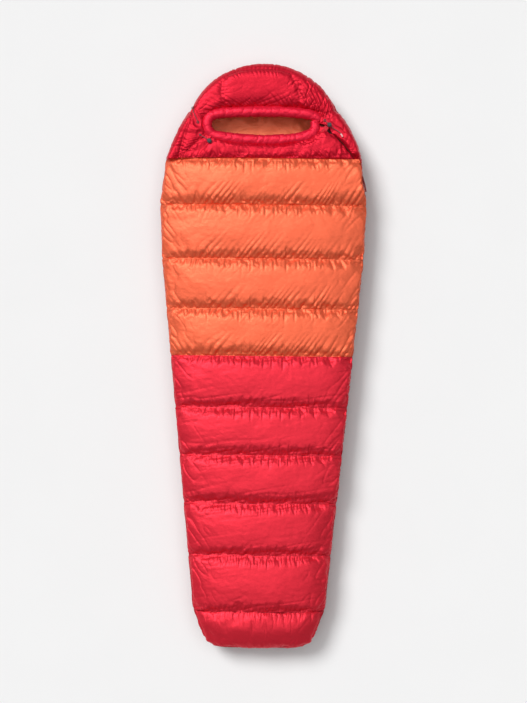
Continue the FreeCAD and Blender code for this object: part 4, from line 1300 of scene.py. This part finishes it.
def coil_spring(side):
    """A cord lock's spring as a coil of wire, which its button flattens."""
    low, high = box_mm(f"cord_lock_spring_{side}")
    wire, coils, cols, around = 0.4, 3.5, 120, 8
    middle = (low + high) / 2
    coil = (high[0] - low[0]) / 2 - wire
    turned = np.linspace(0, 2 * math.pi * coils, cols)
    rise = np.linspace(low[2] + wire, high[2] - wire, cols)
    outward = np.stack([np.cos(turned), np.sin(turned)], 1)
    points = np.zeros((cols, around, 3))
    for k, angle in enumerate(turns(around)):
        points[:, k, :2] = middle[:2] + outward * (coil + wire * math.cos(angle))
        points[:, k, 2] = rise + wire * math.sin(angle)
    piece = tube(f"lock_coil_{side}", points, spring_steel)
    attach(piece, "bag")
    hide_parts(f"cord_lock_spring_{side}")
    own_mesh(piece)


# ---- build the padded pieces

sheets = [quilt_top(), chest_skin(), neck_skin(), hood_skin()]
moves = settled([sheet[:2] for sheet in sheets])

top_sheet, chest_sheet, neck_sheet, hood_sheet = sheets
leg_faces = (top_sheet[0][:-1, :-1, 1] < HIPS_Y + 0.1).astype(int)
top_piece = padded_skin("quilt_top", top_sheet, moves[0], [orange_shell, red_shell], leg_faces)
chest_piece = padded_skin("chest_skin", chest_sheet, moves[1], [orange_shell])
neck_piece = padded_skin("neck_skin", neck_sheet, moves[2], [hood_shell])
hood_piece = padded_skin("hood_skin", hood_sheet, moves[3], [hood_shell])
levelled(hood_piece, [ELASTIC, TAIL_RIGHT, TAIL_LEFT], HOOD_TOP, hood_sheet[1].size)

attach(top_piece, "bag")
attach(hood_piece, "bag")
blend_corner(chest_piece)
blend_corner(neck_piece)
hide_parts("top_chamber_ribs", "top_chamber_waist", "top_chamber_hips",
            "top_chamber_thigh")
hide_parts("top_chamber_knee", "top_chamber_calf", "top_chamber_shin",
            "top_chamber_ankle")
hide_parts("top_chamber_foot", "top_baffle_walls", "lining_top")
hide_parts("top_chamber_chest", "corner_chest")
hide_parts("neck_left", "corner_neck")
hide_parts("hood_crown_panel", "hood_crown_left", "hood_crown_right")
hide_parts("hood_cheek_left", "hood_cheek_right")

brow = rim("brow_rim", BROW_PATH, 131)
chin = rim("chin_rim", CHIN_PATH, 137)
coil_spring("left")
coil_spring("right")

# The hood's fabric under the top of the zip.
UNDERLAP = [(194, 862, 109), (212, 848, 111), (230, 835, 111), (246, 816, 110), (254, 800, 109)]
underlap = roll("zip_underlap", np.array(UNDERLAP, float), 36, 9, 151, hood_shell, 0.06, 19)
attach(underlap, "bag")
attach(brow, "bag")
blend_corner(chin)
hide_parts("hood_rim_brow", "hood_drawcord")
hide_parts("hood_rim_chin", "hood_rim_chin_left", "chin_drawcord")

back = back_pad()
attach(back, "bag")
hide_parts("back_chambers", "back_baffle_walls", "side_wall_left", "side_wall_right")
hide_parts("foot_end_wall", "hood_back", "hood_side_wall", "lining_back")

left_end, high = box_mm("draft_collar_left")
right_end = box_mm("draft_collar_right")[1]
_, COLLAR_Y, COLLAR_Z = (left_end + high) / 2


def collar(name, start, middle, sag, end, seed):
    """A draft collar's roll, which sags towards the foot in its middle."""
    line = np.array([(start, 0, 0), (middle, -sag, 0), (end, 0, 0)]) + (0, COLLAR_Y, COLLAR_Z)
    return roll(name, line, 29, 12, seed, lining)


collar_left = collar("collar_left", left_end[0] + 8, -120, 4, 34, 141)
collar_right = collar("collar_right", 118, 200, 3, right_end[0] - 8, 143)
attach(collar_left, "bag")
blend_corner(collar_right)
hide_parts("draft_collar_left")
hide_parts("draft_collar_right")

low, high = box_mm("zip_draft_tube")
draft_z = (low[2] + high[2]) / 2
line = np.array([(low[0] + 9, low[1] + 8, draft_z), (high[0] - 9, high[1] - 8, draft_z)])
draft = roll("draft_tube", line, 17, 36, 145, lining, 0.1, 22)
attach(draft, "bag")
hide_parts("zip_draft_tube")

FILLS = [(top_piece, 0.75), (chest_piece, 0.75), (neck_piece, 0.65), (hood_piece, 0.65)]
FILLS += [(brow, 0.8), (chin, 0.8), (back, 0.6)]
FILLS += [(collar_left, 0.6), (collar_right, 0.6), (draft, 0.6)]

# ---- cords on the bag, in place of the CAD cords

for cord in (tail_right, tail_left, loop_left):
    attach(cord, "bag")
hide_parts("drawcord_tail_right")
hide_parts("drawcord_tail_left")
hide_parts("hood_elastic")


def knot(name, place, radius, material):
    """An overhand knot pulled tight, as a trefoil of cord."""
    steps, around, cord_radius = 120, 10, 1.35
    t = np.linspace(0, 2 * math.pi * 2, steps)
    out = radius + 0.35 * radius * np.cos(1.5 * t)
    line = np.stack([out * np.cos(t), out * np.sin(t), 0.55 * radius * np.sin(1.5 * t)], 1)
    line += np.array(place)
    tangent = tangents(line)
    side = unit(np.cross(tangent, (0, 0, 1.0)))
    over = np.cross(side, tangent)
    points = np.zeros((steps, around, 3))
    for k, angle in enumerate(turns(around)):
        points[:, k] = line + cord_radius * (side * math.cos(angle) + over * math.sin(angle))
    return tube(name, points, material, flip=False)


end = curve_line(tail_left)[-1]
tail_knot = knot("tail_knot", (end[0] - 1.5, end[1] + 1.2, end[2] + 0.8), 2.1, elastic)
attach(tail_knot, "bag")

# ---- zip: tapes, teeth and facings


def ribbon(name, line, across, near, far, thick=0.6, material=zip_tape, wave=0.0, seed=1):
    """A thin woven strip along a line, spread between two distances across it."""
    line = resampled(line, max(8, int(lengths(line)[-1] / 6)))
    cols = 4
    direction = across(line)
    normal = np.cross(tangents(line), direction)
    wavy = wave * noise2(lengths(line) / 28, 0.4, seed)
    upper = []
    for reach in np.linspace(near, far, cols):
        lift = thick / 2 + wavy * (reach - near) / (far - near)
        upper.append(line + direction * reach + normal * lift[:, None])
    upper = np.stack(upper, 1)
    lower = upper - normal[:, None] * thick
    rows = len(line)
    points = np.concatenate([upper.reshape(-1, 3), lower.reshape(-1, 3)])
    a = np.arange(rows * cols).reshape(rows, cols)
    b = a + rows * cols
    loop = np.hstack([a, b[:, ::-1], a[:, :1]])
    piece = make_mesh(name, points, quads(loop), [material])
    cap_ends(piece)
    return piece


# A tooth's outline: (along the row, across it), as shares of its length and width.
TOOTH = [(-0.5, 0.0), (-0.36, 0.85), (-0.18, 1.0), (0.18, 1.0), (0.36, 0.85), (0.5, 0.0)]


def teeth(name, line, across, near, far):
    """A row of moulded teeth along a line."""
    thick, pitch = 2.9, 2.4
    line = resampled(line, int(lengths(line)[-1] / pitch) + 1)
    tangent, direction = tangents(line), across(line)
    normal = np.cross(tangent, direction)
    shape = []
    for along, width in TOOTH:
        for side in (-0.5, 0.5):
            height = side * thick * (0.8 if width == 0 else 1)
            shape.append((along * 0.62 * pitch, width, height))
    template = [(k, (k + 2) % 12, (k + 3) % 12, k + 1) for k in range(0, 12, 2)]
    template += [(0, 10, 8, 2), (2, 8, 6, 4), (1, 3, 9, 11), (3, 5, 7, 9)]
    points, faces = [], []
    for k in range(len(line)):
        for along, width, height in shape:
            reach = far + (near - far) * width
            points.append(line[k] + tangent[k] * along + direction[k] * reach + normal[k] * height)
        faces += [[v + 12 * k for v in face] for face in template]
    piece = make_mesh(name, np.array(points), np.array(faces), [teeth_plastic])
    piece.data.polygons.foreach_set("use_smooth", np.zeros(len(piece.data.polygons), bool))
    bevel = piece.modifiers.new("rounded", "BEVEL")
    bevel.width, bevel.segments = 0.00025, 1
    return piece


def outward_from_zip(line):
    return np.column_stack([unit(line[:, :2] - ZIP_CENTRE), np.zeros(len(line))])


def arc_line(start, end):
    flat = arc_points(ZIP_CENTRE, ZIP_R, start, end, 90)
    return np.column_stack([flat, np.full(len(flat), ZIP_Z)])


def inward_to_zip(line):
    return -outward_from_zip(line)


def up(line):
    return np.tile((0.0, 0.0, 1.0), (len(line), 1))


def down(line):
    return -up(line)


arc = arc_line(9, 60)
arc_tape = ribbon("tape_arc", arc, outward_from_zip, 3.4, 8.0)
arc_teeth = teeth("teeth_arc", arc, outward_from_zip, 1.0, 3.6)
flap_arc = arc_line(14, 52.5)
flap_tape = ribbon("tape_flap", flap_arc, inward_to_zip, 3.6, 8.0)
flap_teeth = teeth("teeth_flap", flap_arc, inward_to_zip, 1.2, 3.8)

TAPE_INSET = 4.3  # from the outline in to the straight part of the zip


def side_line():
    ys = np.linspace(ZIP_LOW_Y + 2, CHEST_Y, 120)
    xs = np.interp(ys, known_y, known_half) - TAPE_INSET
    return np.column_stack([xs, ys, np.full(len(ys), SPACE_TOP)])


straight = side_line()
low_tape = ribbon("tape_low", straight, down, 3.4, 12.5)
high_tape = ribbon("tape_high", straight, up, 3.4, 12.5)
toothed = straight[straight[:, 1] > ZIP_LOW_Y + 16]
low_teeth = teeth("teeth_low", toothed, down, 1.1, 3.6)
high_teeth = teeth("teeth_high", toothed, up, 1.1, 3.6)
facing_line = straight - np.array([3.4, 0, 0])
low_facing = ribbon("facing_low", facing_line, down, 6.0, 13.0, 1.4, tab_fabric, 0.6, 5)
high_facing = ribbon("facing_high", facing_line, up, 6.0, 13.0, 1.4, tab_fabric, 0.6, 6)


def joined(name, pieces):
    """Several pieces in one object, their modifiers applied first."""
    graph = bpy.context.evaluated_depsgraph_get()
    points, faces, slots, materials = [], [], [], []
    for piece in pieces:
        mesh = bpy.data.meshes.new_from_object(piece.evaluated_get(graph))
        base = len(points)
        points += [tuple(v.co) for v in mesh.vertices]
        if mesh.materials[0] not in materials:
            materials.append(mesh.materials[0])
        for face in mesh.polygons:
            faces.append([base + v for v in face.vertices])
            slots.append(materials.index(mesh.materials[0]))
        bpy.data.objects.remove(piece)
    mesh = bpy.data.meshes.new(name)
    mesh.from_pydata(points, [], faces)
    for material in materials:
        mesh.materials.append(material)
    mesh.polygons.foreach_set("material_index", slots)
    made = bpy.data.objects.new(name, mesh)
    scene.collection.objects.link(made)
    return made


tapes = joined("zip_tapes", [arc_tape, low_tape, high_tape])
rows_of_teeth = joined("zip_teeth", [arc_teeth, low_teeth, high_teeth])
facings = joined("zip_hems", [low_facing, high_facing])
flap_tape.name, flap_teeth.name = "zip_tape_flap", "zip_teeth_flap"
for piece in (tapes, rows_of_teeth, facings):
    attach(piece, "bag")
for piece in (flap_tape, flap_teeth):
    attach(piece, "corner")
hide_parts("zip_tape_bag")
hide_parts("zip_teeth_bag")
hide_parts("zip_facings")
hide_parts("zip_tape_corner")
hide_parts("zip_teeth_corner")

# ---- the tab over the upper slider


WELD_GAP = 0.00002


def welded(piece):
    """Joins the faces of a CAD mesh, so that its edges can be rounded."""
    weld = piece.modifiers.new("weld", "WELD")
    weld.merge_threshold = WELD_GAP


def soft_slab(name, node, material):
    """A small piece of thick fabric: its CAD block with rounded edges."""
    source = frame["nodes"][node]
    mesh = source.data.copy()
    mesh.materials.clear()
    mesh.materials.append(material)
    piece = bpy.data.objects.new(name, mesh)
    scene.collection.objects.link(piece)
    welded(piece)
    bevel = piece.modifiers.new("rounded", "BEVEL")
    bevel.width, bevel.segments = 0.0005, 3
    return piece


tab = soft_slab("garage_flap", "garage_tab", tab_fabric)
root = soft_slab("garage_sewn_end", "garage_root", tab_fabric)
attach(tab, "garage_tab")
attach(root, "corner")
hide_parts("garage_tab")
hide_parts("garage_root")

# ---- carried-over hard parts

FINISHES = {
    "upper_slider": slider_metal,
    "lower_slider": slider_metal,
    "upper_pull": webbing,
    "lower_pull": webbing,
    "zip_stops": teeth_plastic,
    "cord_lock_barrels": lock_plastic,
    "cord_lock_button_left": button_plastic,
    "cord_lock_button_right": button_plastic,
    "cord_eyelets": eyelet_metal,
    "cord_end_right": end_plastic,
}
for node, material in FINISHES.items():
    thing = frame["nodes"][node]
    thing.data.materials.clear()
    thing.data.materials.append(material)
    welded(thing)
    bevel = thing.modifiers.new("rounded", "BEVEL")
    bevel.limit_method = "ANGLE"
    bevel.width, bevel.segments = 0.0004, 2

# ---- floor and light

FLOOR_HALF = 30  # metres
corners = np.array([(-1, -1, 0), (1, -1, 0), (1, 1, 0), (-1, 1, 0)]) * FLOOR_HALF / MM
floor = make_mesh("floor", corners - (0, 0, 0.4), np.array([(0, 1, 2, 3)]), [])
paper = Nodes("studio_floor", Roughness=0.9)
paper.colour(paper.ramp(paper.noise(3, 2), (0.836, 0.836, 0.836), (0.846, 0.846, 0.846)))
floor.data.materials.append(paper.material)
floor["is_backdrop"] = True

world = bpy.data.worlds.new("studio")
world.use_nodes = True
background = world.node_tree.nodes["Background"]
background.inputs["Color"].default_value = (1.0, 1.0, 1.0, 1)
background.inputs["Strength"].default_value = 0.14
scene.world = world


def soft_sun(name, source, strength, spread_deg):
    """A distant soft light that shines from the direction of source."""
    data = bpy.data.lights.new(name, "SUN")
    data.angle = math.radians(spread_deg)
    data.energy = strength
    light = bpy.data.objects.new(name, data)
    light.location = Vector(source) * 3
    light.rotation_euler = (-Vector(source)).to_track_quat("-Z", "Y").to_euler()
    scene.collection.objects.link(light)


soft_sun("key", (-0.58, 0.62, 1.0), 2.3, 24)
soft_sun("overhead", (0.02, 0.10, 1.0), 1.17, 62)

low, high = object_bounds()
